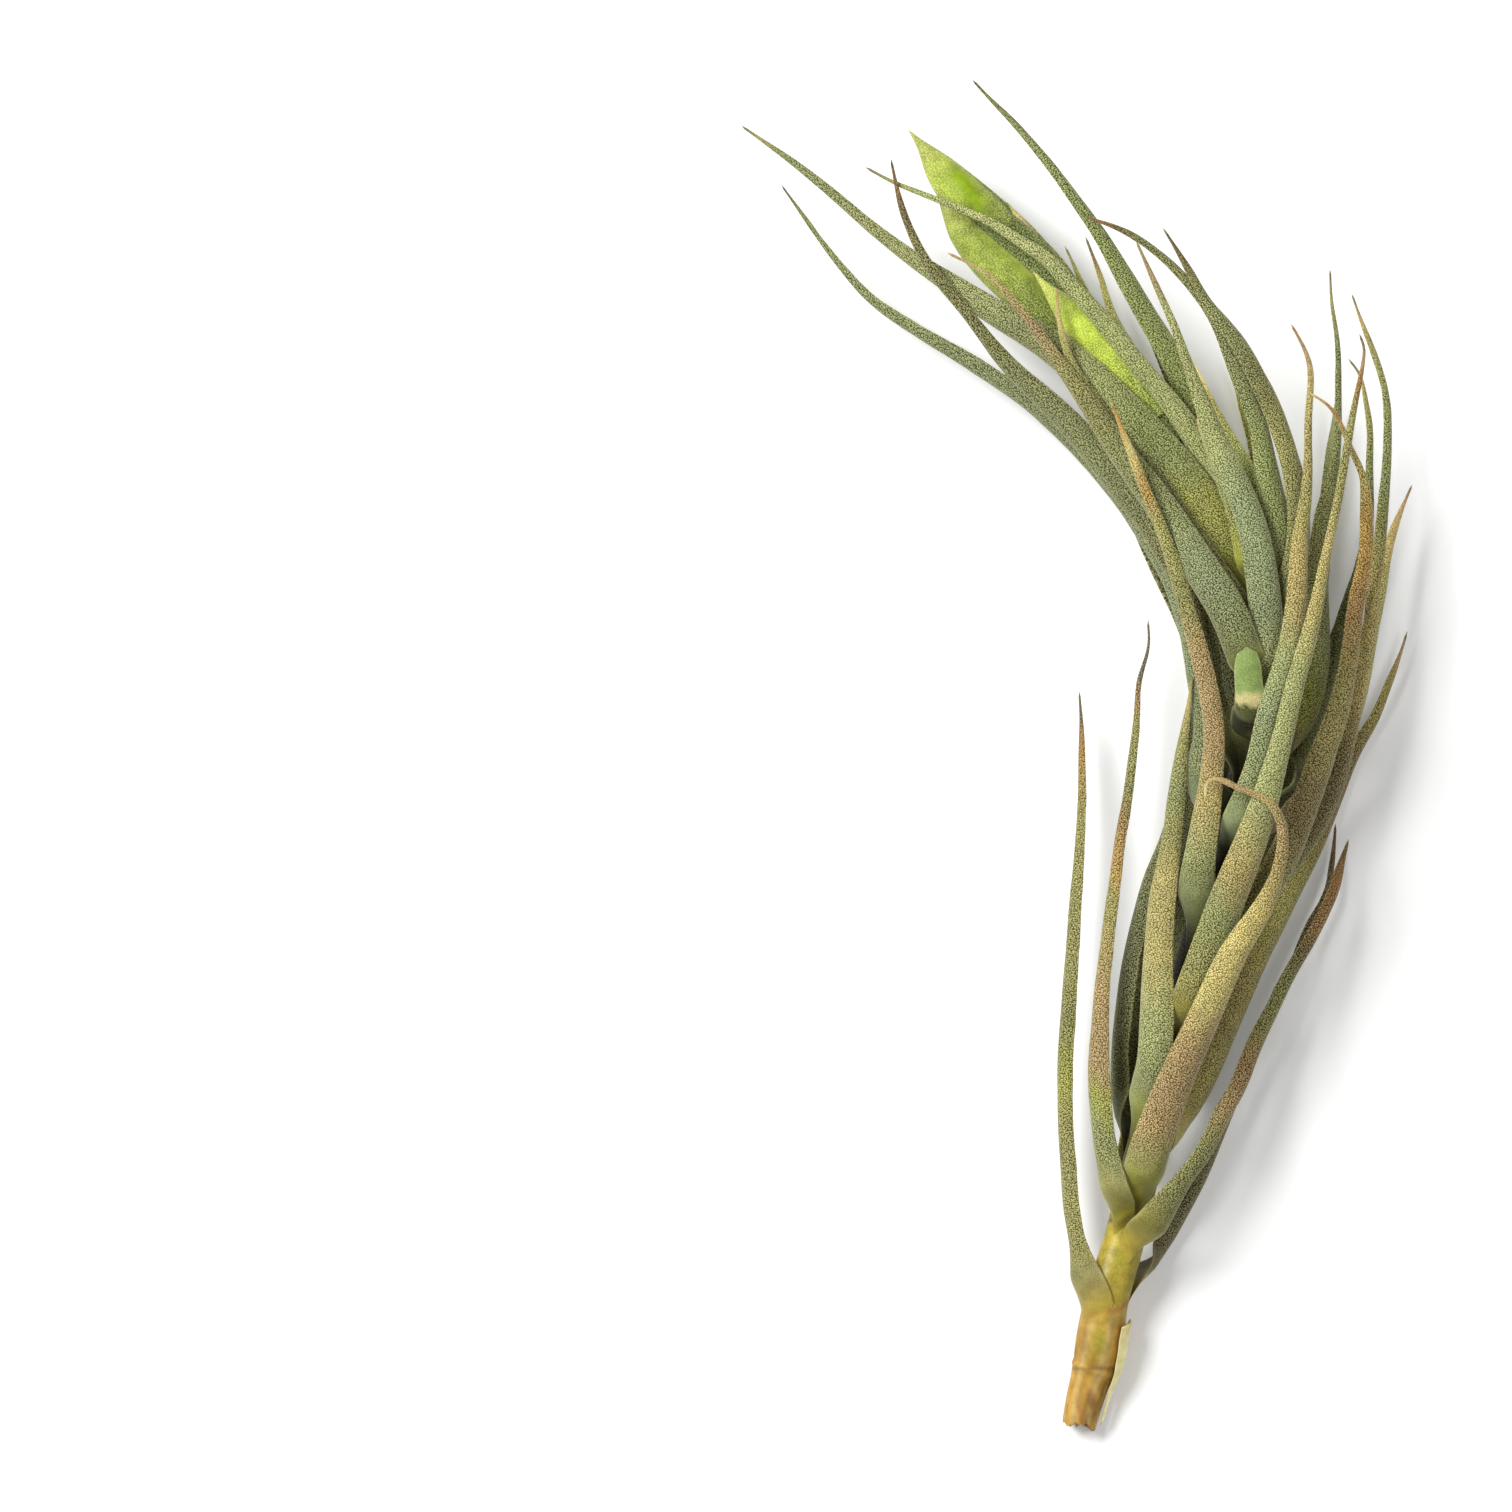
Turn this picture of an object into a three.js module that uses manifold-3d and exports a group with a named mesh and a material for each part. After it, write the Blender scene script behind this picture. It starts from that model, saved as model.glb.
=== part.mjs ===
// Tillandsia kirschnekii: an air plant with a cut, bare stem base, long channelled leaves that clasp
// the stem and run along it, a lime flower spike and a smaller side spike at the top. It lies on a
// flat surface, seen from above with its stem base at the bottom and its spike at the top left.
// Millimetres; +X right, +Y towards the spike end, +Z up, away from the surface it lies on.
import * as THREE from "three";
import Module from "manifold-3d";

const wasm = await Module();
wasm.setup();

// Driving dimensions
const TABLE_Z = 0; // the surface the plant lies on
const SEAT_GAP = 0.32; // clear space between a leaf and what it lies on or clasps
const BLADE_THIN = 0.62; // thickness of a blade at its tip and of a clasping sheath's edge
const BLADE_THICK = 0.98; // thickness of a fleshy blade at its broadest
const SHEATH_THICK = 0.7; // thickness of the sheath round the stem
const SHEATH_LENGTH = 11; // how far up the leaf the sheath takes to become the blade
const SHEATH_HALF_ANGLE = THREE.MathUtils.degToRad(56); // how far round the stem a sheath reaches
const BLADE_HALF_ANGLE = THREE.MathUtils.degToRad(66); // how far the channelled blade curls
const SAGITTA_SHARE = 0.28; // height of the blade's arch as a share of its width
const WIDTH_TO_THICKNESS = 0.12; // thickness that a blade gains for each millimetre of width
const EDGE_THINNING = 0.35; // how much thinner a blade is at its edges than in its middle
const INNER_SHARE = 0.55; // least size of the inner face as a share of the outer one
const LEAST_SHOWN = 0.6; // least share of its width that a blade is taken to show from above
const NARROWEST = 0.72; // width of a leaf just behind its point
const POINT_LENGTH = 0.9; // length of the closing point
const STEM_SIDES = 14;
const STEM_REACH = 2; // half the length of axis over which the stem's direction is taken
const BRACT_ARCH = 0.4; // height of a bract's arch as a share of its width
const BRACT_HALF_ANGLE = THREE.MathUtils.degToRad(72);
const BRACT_THICK = 0.9;
const CORE_DEPTH = 0.33; // half the depth of a spike's core as a share of its width
const PRESSED = 0.3; // how far the lowest leaves are flattened where the plant lies on them

// How finely the surfaces are made
const ARC_POINTS = 5; // points along a blade's outer face, and as many along its inner face
const FEWEST_RINGS = 8;
const MOST_RINGS = 21;
const RING_STEP = 12; // length of leaf for which one more ring is made
const TURN_RINGS = 1.5; // rings that are added for each radian by which a leaf turns at its sheath
const TIP_CROWDING = 1.2; // how much closer together the rings are at the tip
const TIP_STRETCH = 9; // length over which they spread out again
const BEND_CROWDING = 0.22; // how much closer together they are for each radian of bend or turn
const COURSE_STEPS = 240; // steps in which a course is measured
const CORE_RINGS = 1; // rings for each point of a spike's core
const BRACT_RINGS = 1.2; // the same for a bract

// How the leaves are laid on one another
const GRID_X = 60; // half the size of the grid of squares in which heights are compared
const GRID_Y = 112;
const CELL = 0.2; // size of its squares
const CELL_MARGIN = 0.75; // how far outside a triangle a square still counts, in squares
const ON_EDGE = 1e-9; // area in plan under which a triangle stands on edge
const WIDE_SPREAD = 22; // length over which a raised leaf eases back to its own course
const NEAR_SPREAD = 8; // the same for the last small changes
const WIDE_PASSES = 6;
const MOST_PASSES = 40;
const CLOSE_ENOUGH = 0.01; // a shortfall in clear space that is left alone
const HEIGHT_EVENINGS = 3; // times that a leaf's heights are evened out

// The stem's axis from the cut end to the foot of the flower spike: x, y, z and radius
const STEM = [
  [0.2, -100.6, 2.3, 2.5],
  [0.9, -97.5, 2.55, 2.75],
  [1.8, -94, 2.95, 2.95],
  [2.6, -91.5, 3.6, 3.35],
  [3.6, -86, 5.3, 3.45],
  [4.3, -82, 6.6, 3.25],
  [5.4, -78, 8, 3.15],
  [6.6, -74, 9.3, 3.05],
  [7.6, -70, 10.4, 2.95],
  [9.9, -60, 12.8, 2.9],
  [12.5, -50, 14.5, 2.9],
  [15, -40, 15.7, 2.9],
  [17.8, -30, 16.4, 2.9],
  [20.5, -20, 16.9, 2.85],
  [23.3, -10, 17.1, 2.8],
  [26, 0, 17.0, 2.7],
  [28, 10, 16.7, 2.6],
  [28.6, 18, 16.3, 2.5],
  [27, 27, 15.8, 2.4],
  [23, 36, 15.2, 2.2],
  [17.5, 44.5, 14.7, 2.1],
  [11, 53, 14.3, 2.0],
  [4.5, 61.5, 13.9, 1.9],
  [1.6, 65.2, 13.8, 1.8],
];

// Leaves that lie over the stem, from the innermost to the outermost. Each course runs from the tip
// to the last free point before the sheath, as x, y and the width seen from above. "root" is the y at
// which the leaf leaves the stem, "side" the angle at which it leaves it (0 on top, 90 on the right),
// "face" the side to which its back looks further up, and "height" its height at the tip and at one
// and two thirds of its length. A leaf that "rests" is pressed on the table where it is lowest.
const OVER = [
  {
    name: "leaf_top_long", root: 34, side: 30, face: 15, height: [20, 19, 18],
    course: [
      [-15.4, 100.6, 0.5], [-12.6, 97.6, 0.8], [-10, 95, 1], [-7.5, 92.2, 1.2], [-5, 89.2, 1.4],
      [-2.5, 85.9, 1.6], [0.1, 82.4, 1.8], [2.6, 78.9, 2.1], [5.1, 74.6, 2.4], [7.6, 70.3, 3],
      [10.1, 66, 3.2], [12.7, 61.8, 3.5], [15.2, 56.5, 3.6], [18.7, 49, 4], [22.5, 41, 4.2],
    ],
  },
  {
    name: "leaf_beside_speckled", root: 28, side: 30, face: 15, height: [21, 20, 19],
    course: [
      [15.6, 61.5, 0.8], [17.4, 57.5, 1.3], [19.7, 53, 1.4], [22, 48.5, 1.9], [24.5, 44, 2.5],
      [26.4, 39, 3.4], [27.8, 32, 4],
    ],
  },
  {
    name: "leaf_over_spike", root: 35, side: -10, face: -5, height: [18, 18.5, 19],
    course: [
      [-31.3, 87.7, 0.5], [-27.5, 85.7, 0.7], [-25, 84.7, 0.8], [-20, 82.7, 1], [-15, 80.7, 1.2],
      [-10, 77.7, 1.6], [-5, 74.4, 2.2], [-2.75, 72, 2.15], [-0.25, 69.4, 2.55], [4.75, 63.6, 2.85],
      [9.45, 57.8, 2.9], [14.55, 51.6, 3.2], [19.2, 44.5, 4.1], [22.8, 37.5, 4.4],
    ],
  },
  {
    name: "leaf_central_broad", root: 22, side: -30, face: -14, height: [8, 13, 19],
    course: [
      [-50, 94, 0.5], [-45, 90.5, 0.9], [-40, 86.8, 1.3], [-35, 82.6, 1.6], [-30, 78.3, 1.9],
      [-25, 74.5, 2.4], [-20, 71.2, 3], [-15, 67.9, 3.8], [-10, 64.8, 4.3], [-5, 61.9, 4.8],
      [0, 58, 5.5], [5, 53, 6.2], [10, 47.5, 6.9], [15, 41.5, 7.5], [19, 36, 7.5], [22.5, 30, 7.4],
    ],
  },
  {
    name: "leaf_broken_tip", root: 25, side: 15, face: 5, height: [22, 21, 20],
    course: [[18, 49.7, 1], [19, 47.2, 1.6], [20.3, 44.2, 2], [22.6, 38.6, 2.6], [25.2, 31, 3.4]],
  },
  {
    name: "leaf_rust_arched", root: 19, side: 32, face: 20, height: [25, 24, 20],
    course: [
      [1.5, 80.4, 0.7], [5, 79.2, 0.9], [7.6, 78, 1], [10.2, 76.4, 1.1], [12.8, 74.3, 1.2],
      [15.2, 72, 1.4], [17.3, 69.3, 1.55], [19.55, 66.3, 1.4], [21.15, 63.5, 1.9], [22.55, 60.5, 2.45],
      [24.05, 57, 2.75], [25.35, 53.5, 2.85], [26.65, 50, 2.95], [27.65, 46, 3.05], [28.2, 42, 3.7],
      [29.1, 38, 4], [30.2, 31, 4.2],
    ],
  },
  {
    name: "leaf_brown_tip", root: 17, side: 34, face: 35, height: [22, 21, 18],
    course: [
      [13, 78.3, 0.5], [15.3, 74.6, 1], [17.3, 71.1, 1.3], [19, 68.1, 1.6], [20.8, 65.6, 1.9],
      [23.3, 62.4, 2.4], [25.45, 58.9, 2.65], [27.45, 55, 2.85], [29.05, 51.5, 2.95], [30.35, 48, 2.95],
      [31.35, 45, 2.95], [32.4, 41, 3.2], [33, 34, 3.5], [32, 27, 3.8],
    ],
  },
  {
    name: "leaf_thin_tan", root: 15, side: -30, face: -10, height: [23, 21, 20],
    course: [
      [-3.3, 69.2, 0.6], [-3.2, 67, 0.8], [-2.6, 63.5, 1], [-1.6, 60, 1.2], [0, 56.8, 1.5], [2.5, 53, 1.8],
      [5.5, 48.5, 2.2], [9.3, 43.5, 2.8], [13.4, 38, 3.3], [17.6, 31.5, 3.8], [22, 25, 4.2],
    ],
  },
  {
    name: "leaf_lower_left_long", root: -9, side: -34, face: -40, height: [4, 10, 14],
    course: [
      [-44.2, 85, 0.35], [-40.1, 79.3, 0.75], [-37.6, 75.8, 0.95], [-35.1, 72.6, 1.05],
      [-32.1, 69.5, 1.4], [-30.1, 67.7, 1.5], [-25.1, 64.3, 1.8], [-20.1, 61.1, 2.1],
      [-15.1, 58.3, 2.4], [-10, 54.9, 2.55], [-5, 51, 2.85], [0.2, 46.2, 3.05], [6, 39.6, 3.4],
      [10.1, 33.6, 3.5], [14.2, 26.3, 3.5], [16.9, 18, 3.4], [18.2, 10, 3.4], [18.6, 2, 3.4],
      [18.5, -5, 3.6],
    ],
  },
  {
    name: "leaf_brown_curved", root: -2, side: -34, face: -20, height: [17, 17, 18],
    course: [
      [-28, 88.5, 0.6], [-27.4, 86, 0.8], [-27.1, 84, 0.9], [-26.2, 81, 1.1], [-25.2, 78.5, 1.2],
      [-23.7, 75.5, 1.4], [-22.2, 73, 1.6], [-20.2, 70.4, 1.8], [-17.6, 67.3, 1.7], [-15.1, 64, 1.9],
      [-12.6, 60.8, 2.3], [-10, 58, 2.7], [-5, 53.2, 3.4], [0, 48.3, 4], [4, 43.5, 4.5], [8.4, 38, 4.3],
      [12.4, 32, 4.1], [16, 25, 4], [18.7, 17, 4], [20.2, 8, 4],
    ],
  },
  {
    name: "leaf_speckled", root: 7, side: 20, face: 8, height: [26, 23, 20],
    course: [
      [8.9, 76.2, 0.6], [10.1, 73.5, 0.8], [11.7, 70, 1], [13.2, 66.5, 1.1], [14.7, 63, 1.3],
      [16.1, 59, 1.6], [17.4, 55.5, 2.1], [18.7, 52, 2.7], [20.2, 48, 3.3], [21.7, 44.5, 3.8],
      [23.5, 40.5, 4.2], [25, 37, 4.4], [26.3, 32.5, 4.7], [27.3, 27, 5], [28, 21, 5],
    ],
  },
  {
    name: "leaf_brown_front", root: 9, side: -15, face: -14, height: [23, 20, 20],
    course: [
      [-19, 74.8, 0.6], [-15, 72.8, 0.8], [-12.3, 70.7, 1], [-9.8, 67.8, 1.1], [-7.4, 65, 1.4],
      [-5, 61.6, 1.8], [-2.5, 58.3, 2.2], [0, 54.5, 2.7], [2.5, 51, 3.2], [4.5, 48, 3.6], [6.5, 45, 4],
      [8.9, 41.8, 4.4], [12.5, 37, 4.8], [16, 31.5, 5.3], [19.5, 26, 5.6], [22.5, 21, 5.7],
      [25.2, 14, 5.5],
    ],
  },
  {
    name: "leaf_young_stub", root: 1, side: -15, face: -4, height: [21, 20, 18],
    course: [
      [25.1, 15.2, 2.6], [25.2, 13.8, 3.4], [25.3, 12, 3.7], [25.5, 9.6, 3.6], [25.8, 7.6, 3.5],
    ],
  },
  {
    name: "leaf_tan_tip", root: -14, side: 10, face: 12, height: [23, 22, 20],
    course: [
      [32.2, 63.8, 0.6], [33.2, 62, 0.7], [34.1, 60, 0.8], [34.7, 57.5, 0.9], [34.7, 55, 1],
      [34.4, 51, 1.1], [34.4, 47, 1.2], [34.3, 43, 1.4], [34, 39, 1.8], [33.5, 35, 2.2], [33, 31, 2.6],
      [32.8, 27, 2.9], [32.5, 23, 3.2], [32, 19, 3.3], [31, 15, 3.4], [30, 11, 3.5], [28.3, 6, 3.5],
      [27, 0, 3.5], [25.7, -5, 3.7],
    ],
  },
  {
    name: "leaf_right_tall", root: -24, side: 34, face: 45, height: [13, 16, 16],
    course: [
      [41.3, 68.5, 0.5], [42.1, 66, 0.7], [43.1, 63.5, 0.8], [44.1, 61, 0.9], [45, 58, 1],
      [45.8, 55, 1.1], [46.3, 51, 1.2], [46.4, 47, 1.3], [46.2, 43, 1.4], [45.9, 39, 1.5],
      [45.5, 35, 1.8], [45, 31, 2], [44.6, 27, 2.1], [44.2, 23, 2.2], [43.6, 19, 2.3], [43, 15, 2.4],
      [42.2, 11, 2.5], [41.3, 7, 2.6], [40.2, 2, 2.7], [38.9, -3, 2.8], [36.5, -9, 3], [32.5, -15, 3.2],
      [27.8, -20, 3.6],
    ],
  },
  {
    name: "leaf_rust_hooked", root: -30, side: 34, face: 34, height: [22, 19, 18],
    course: [
      [35, 53.9, 0.5], [36.5, 52.9, 0.6], [38, 51.6, 0.7], [38.9, 50, 0.7], [39.8, 48, 0.8],
      [40.7, 46, 0.9], [41.7, 44, 1], [42.5, 42, 1.1], [42.9, 39, 1.85], [43.2, 36, 1.95],
      [43.2, 33, 2.05], [42.9, 30, 2.25], [42.4, 27, 2.35], [41.7, 23, 2.55], [41.2, 19, 2.85],
      [40.6, 15, 2.7], [39.9, 11, 3], [39, 7, 3.4], [37.6, 3, 3.8], [36, -2, 4.1], [34.3, -6, 4.4],
      [32.5, -11, 4.7], [30.6, -15.5, 4.8], [27, -21.5, 4.8],
    ],
  },
  {
    name: "leaf_left_orange", root: -27, side: -30, face: -14, height: [28, 25, 19],
    course: [
      [5, 52.2, 0.6], [6.2, 49.2, 0.9], [7, 47, 1.1], [8, 44.7, 1.3], [9, 42, 1.5], [10.2, 39, 1.7],
      [11.5, 36, 1.8], [12.8, 32.5, 2], [14, 29, 2.2], [15, 26, 2.4], [16, 22.5, 2.5], [17, 19, 2.7],
      [18, 15.5, 2.9], [18.8, 12, 3.1], [19.6, 8.5, 3.1], [20, 5, 3.2], [20.3, 2, 3.2], [20, -2, 3.4],
      [19.5, -6, 3.7], [19, -10, 4.3], [18.3, -14, 4.8], [17.9, -18, 5],
    ],
  },
  {
    name: "leaf_front_pale", root: -42, side: 15, face: 12, height: [24, 24, 21],
    course: [
      [42.3, 62.3, 0.5], [42.7, 61, 0.6], [42.5, 58, 0.7], [41.9, 55, 0.8], [41.1, 51, 1],
      [40.3, 47, 1.2], [39.6, 43, 1.3], [38.8, 38, 1.3], [37.9, 34, 1.4], [37, 30, 1.5], [36, 25, 1.9],
      [35, 20, 2.4], [33.6, 15, 2.7], [32.2, 10, 2.9], [31, 5, 3.1], [29.8, 0, 3.3], [28.4, -5, 4],
      [26.7, -10, 4.7], [25, -15, 5.1], [22.9, -20, 5.4], [21, -25, 5.6], [19.4, -30, 5.8],
    ],
  },
  {
    name: "leaf_front_light", root: -57, side: -30, face: -22, height: [19, 19, 16],
    course: [
      [16.9, 11, 0.7], [16.6, 8, 0.9], [16, 4, 1.3], [15.4, 0, 1.9], [14.8, -5, 2.7], [14.3, -10, 2.9],
      [13.7, -15, 3.2], [12.8, -20, 4], [12.3, -25, 4.2], [11.9, -30, 4.4], [11.8, -35, 4.9],
      [11.7, -40, 5.2], [11.3, -46, 5.2],
    ],
  },
  {
    name: "leaf_front_withered", root: -66.5, side: 8, face: 14, height: [29, 28, 20],
    course: [
      [18.9, -5.9, 0.7], [19, -4.6, 0.75], [19.9, -3.7, 0.8], [21.6, -4, 0.8], [24, -5.1, 0.9],
      [26.5, -6, 1.05], [28.5, -7.3, 1.3], [29.8, -9, 1.5], [30.4, -10.8, 1.6], [30.3, -13, 1.7],
      [30, -16.5, 2], [29, -20, 2.6], [27, -23.5, 3.2], [24.8, -27, 3.9], [22.5, -31, 4.4], [20.3, -36, 4.7],
      [18, -41, 4.9], [16, -45.5, 5.2], [14, -50, 5.5], [12, -55, 5.9],
    ],
  },
  {
    name: "leaf_left_free_short", root: -70, side: -34, face: -38, height: [9, 14, 12],
    course: [
      [10.5, 19.4, 0.5], [10.6, 18, 0.5], [10.5, 16, 0.55], [10, 14, 0.6], [9.4, 12, 0.7],
      [9.1, 10, 0.8], [8.8, 6, 1], [8.4, 2, 1.2], [7.9, -2, 1.4], [7.4, -6, 1.5], [6.8, -10, 1.6],
      [6.2, -14, 1.7], [5.6, -18, 1.8], [5.1, -22, 1.9], [4.6, -26, 2], [4.1, -30, 2.1],
      [3.6, -35, 2.3], [3.2, -40, 2.5], [3.1, -45, 3.1], [3.2, -50, 3.4], [3.6, -55, 3.5],
      [4.2, -60, 3.3], [5.2, -64.5, 3.5],
    ],
  },
  {
    name: "leaf_right_free_front", root: -74, side: 34, face: 42, height: [8, 13, 12],
    course: [
      [40.4, -13.5, 0.8], [39.6, -16, 1.5], [38.5, -19.9, 1.7], [36.6, -24.2, 1.8],
      [33.15, -30.4, 2.05], [31.35, -33.6, 2.05], [29.45, -37.4, 2.15], [27.55, -41.2, 2.35],
      [25.75, -45.2, 2.55], [24, -49.6, 2.6], [21.5, -54, 2.8], [19.35, -58.4, 2.6],
      [16.75, -62.4, 2.8], [13.95, -66.2, 3.1],
    ],
  },
  {
    name: "leaf_left_free_long", root: -83, side: -34, face: -50, height: [5, 11, 9],
    course: [
      [0.2, 8.7, 0.5], [0.5, 5, 0.7], [0.6, 0, 1], [0.6, -5, 1.2], [0.5, -10, 1.3], [0.1, -15, 1.5],
      [-0.2, -20, 1.7], [-0.5, -25, 1.9], [-0.8, -30, 2], [-1.2, -35, 2.1], [-1.6, -40, 2.2],
      [-1.8, -45, 2.3], [-1.95, -50, 2.2], [-1.85, -55, 2.2], [-1.55, -60, 2.3], [-1.15, -65, 2.3],
      [-0.65, -70, 2.4], [0.55, -76, 2.8],
    ],
  },
];

// Leaves on the underside, from the innermost to the outermost, which the plant lies on
const UNDER = [
  {
    name: "leaf_behind_spike_b", root: 38, side: 150, face: 60, height: [14, 13, 12],
    course: [
      [1.4, 77, 0.5], [2.7, 73.3, 0.8], [3.9, 69.5, 1.1], [4.9, 66.3, 1.3], [6.8, 62.5, 1.7],
      [11, 55.5, 2.4], [16.5, 47, 3], [22, 39.5, 3.4],
    ],
  },
  {
    name: "leaf_behind_spike_a", root: 40, side: 195, face: 150, height: [13, 12, 11],
    course: [
      [-1.7, 75.7, 0.5], [0, 72, 0.9], [1.3, 69, 1.2], [4, 64, 1.6], [8.5, 57.5, 2.2],
      [14, 49.5, 2.8], [20, 41, 3.4],
    ],
  },
  {
    name: "leaf_right_upright", root: -2, side: 146, face: 50, height: [18, 15, 12],
    course: [
      [37.8, 72, 0.35], [37.9, 69, 0.45], [38.3, 65.5, 0.55], [38.8, 62, 0.75], [39, 58, 0.85],
      [39.1, 54, 0.95], [38.9, 50, 1.05], [38.75, 46, 1.2], [38.25, 42, 1.4], [37.15, 38, 2.4],
      [36.45, 34, 2.7], [35.95, 30, 3], [35.75, 24, 3.4], [36, 17, 3.3], [34.8, 9, 3.7], [32, 3, 3.9],
    ],
  },
  {
    name: "leaf_right_thin", root: -6, side: 146, face: 50, height: [15, 12, 11],
    course: [
      [41, 58.8, 0.5], [41.8, 57.8, 0.55], [42.3, 56.5, 0.6], [42.8, 54.5, 0.7], [43.3, 52, 0.8],
      [43.7, 49.5, 0.9], [43.65, 46.5, 1], [43.65, 43.5, 1.1], [43.65, 40, 1.2], [43.6, 35, 1.5],
      [42.6, 29, 1.9], [40.9, 23.5, 2.3], [38.9, 17, 2.8], [36.9, 10, 3], [34.4, 3, 3.2],
      [31.2, -4, 3.4],
    ],
  },
  {
    name: "leaf_right_orange", root: -13, side: 146, face: 62, height: [8, 10, 11],
    course: [
      [49.9, 39.8, 0.5], [48.9, 37.6, 0.9], [47.9, 35.5, 1.2], [47.2, 33.5, 1.4], [46.7, 31, 1.5],
      [45.95, 28, 1.4], [45.55, 25, 1.5], [44.85, 21.5, 1.6], [43.95, 17, 1.8], [42.55, 10, 1.9],
      [40.4, 3, 2.1], [36.6, -3.3, 2.2], [31.4, -8.1, 2.6],
    ],
  },
  {
    name: "leaf_left_dark", root: -60, side: 216, face: 300, height: [12, 11, 9],
    course: [
      [16, 4, 0.7], [15.35, -2, 1], [14.25, -8, 1.2], [12.65, -13.5, 1.4], [11.35, -17, 1.8],
      [10.35, -21, 2.2], [9.2, -25, 2.5], [8.3, -30, 2.7], [7.5, -35, 2.8], [6.9, -40, 2.8],
      [6.5, -45, 2.8], [6.5, -50, 2.9],
    ],
  },
  {
    name: "leaf_right_long", root: -61, side: 144, face: 55, height: [4, 4, 8], rests: true,
    course: [
      [49.3, 17.7, 0.5], [48.2, 14.5, 0.8], [47.1, 11.6, 1], [44.3, 5.3, 1.6], [41.5, 0.6, 2.1],
      [38.9, -5, 2.6], [36.8, -9.8, 3.1], [33.9, -15.6, 3.7], [31, -21.3, 4], [27.6, -28, 3.8],
      [24.3, -35.5, 3.7], [21.3, -42.5, 3.9], [18.2, -49, 4], [15.2, -54.6, 4],
    ],
  },
  {
    name: "leaf_right_free_back", root: -80.5, side: 146, face: 60, height: [3, 5, 6], rests: true,
    course: [
      [38.65, -11.2, 0.7], [38.55, -13, 0.8], [38.15, -15.5, 1], [37.6, -19.5, 0.9], [35.3, -24.5, 1.2],
      [32, -32, 1.4], [28.2, -40, 1.7], [24.4, -48.5, 2], [20.9, -57, 2.2], [18.3, -62.9, 2.5],
      [15.3, -68.4, 2.8], [12, -73.6, 3.1],
    ],
  },
  {
    name: "leaf_under_01", root: 27, side: 185, face: 180, height: [9, 9, 9],
    course: [[9, 67, 0.7], [12.5, 60, 1.8], [16, 52, 2.8], [20, 43, 3.6], [24, 34.5, 4.2]],
  },
  {
    name: "leaf_under_02", root: 13, side: 215, face: 195, height: [1.5, 1.3, 6], rests: true,
    course: [[-13, 67, 0.8], [-5, 61, 2.2], [3, 53.5, 3.2], [11, 44, 4], [18, 33.5, 4.6], [23.5, 23, 4.8]],
  },
  {
    name: "leaf_under_03", root: 4, side: 140, face: 155, height: [4, 1.5, 3], rests: true,
    course: [
      [23, 58, 0.8], [25.3, 51.5, 2], [27.9, 42, 3], [29.4, 32, 3.8], [29.8, 22, 4.3], [29.4, 13, 4.6],
    ],
  },
  {
    name: "leaf_under_04", root: -8, side: 215, face: 205, height: [2, 1.5, 4],
    course: [
      [3, 43, 0.9], [8.4, 37, 2.2], [13.2, 28.5, 3.4], [18.2, 20, 4.6], [20.8, 11, 5.2], [22.4, 0, 5],
    ],
  },
  {
    name: "leaf_under_05", root: -22, side: 155, face: 158, height: [5, 2, 2], rests: true,
    course: [
      [38.6, 52, 0.7], [37.9, 44, 1.8], [37, 34, 2.6], [35.8, 23, 3.4], [34.2, 11, 4.4], [31.6, -1, 5],
      [27.6, -12, 5],
    ],
  },
  {
    name: "leaf_under_06", root: -41, side: 205, face: 200, height: [3, 1.5, 1.5], rests: true,
    course: [
      [17.6, 16, 0.8], [17.6, 9, 1.8], [17.6, 1, 3], [17.4, -8, 4], [16.8, -19, 4.6], [15.8, -30, 4.8],
    ],
  },
  {
    name: "leaf_under_07", root: -51, side: 150, face: 152, height: [8, 5, 4], rests: true,
    course: [
      [41, 24, 0.7], [39.7, 17, 2], [37.9, 8, 3], [35.6, -1, 3.8], [32.6, -10, 4.4], [28.2, -20.5, 4.8],
      [23.2, -31.5, 5], [19.2, -41.5, 5.2],
    ],
  },
  {
    name: "leaf_under_08", root: -67, side: 195, face: 192, height: [4, 3, 5],
    course: [
      [13.8, -13, 0.8], [12.6, -21, 2.8], [11, -30, 4.4], [9.6, -40, 5], [8.9, -50, 5.2], [8.8, -58, 5],
    ],
  },
];

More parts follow.
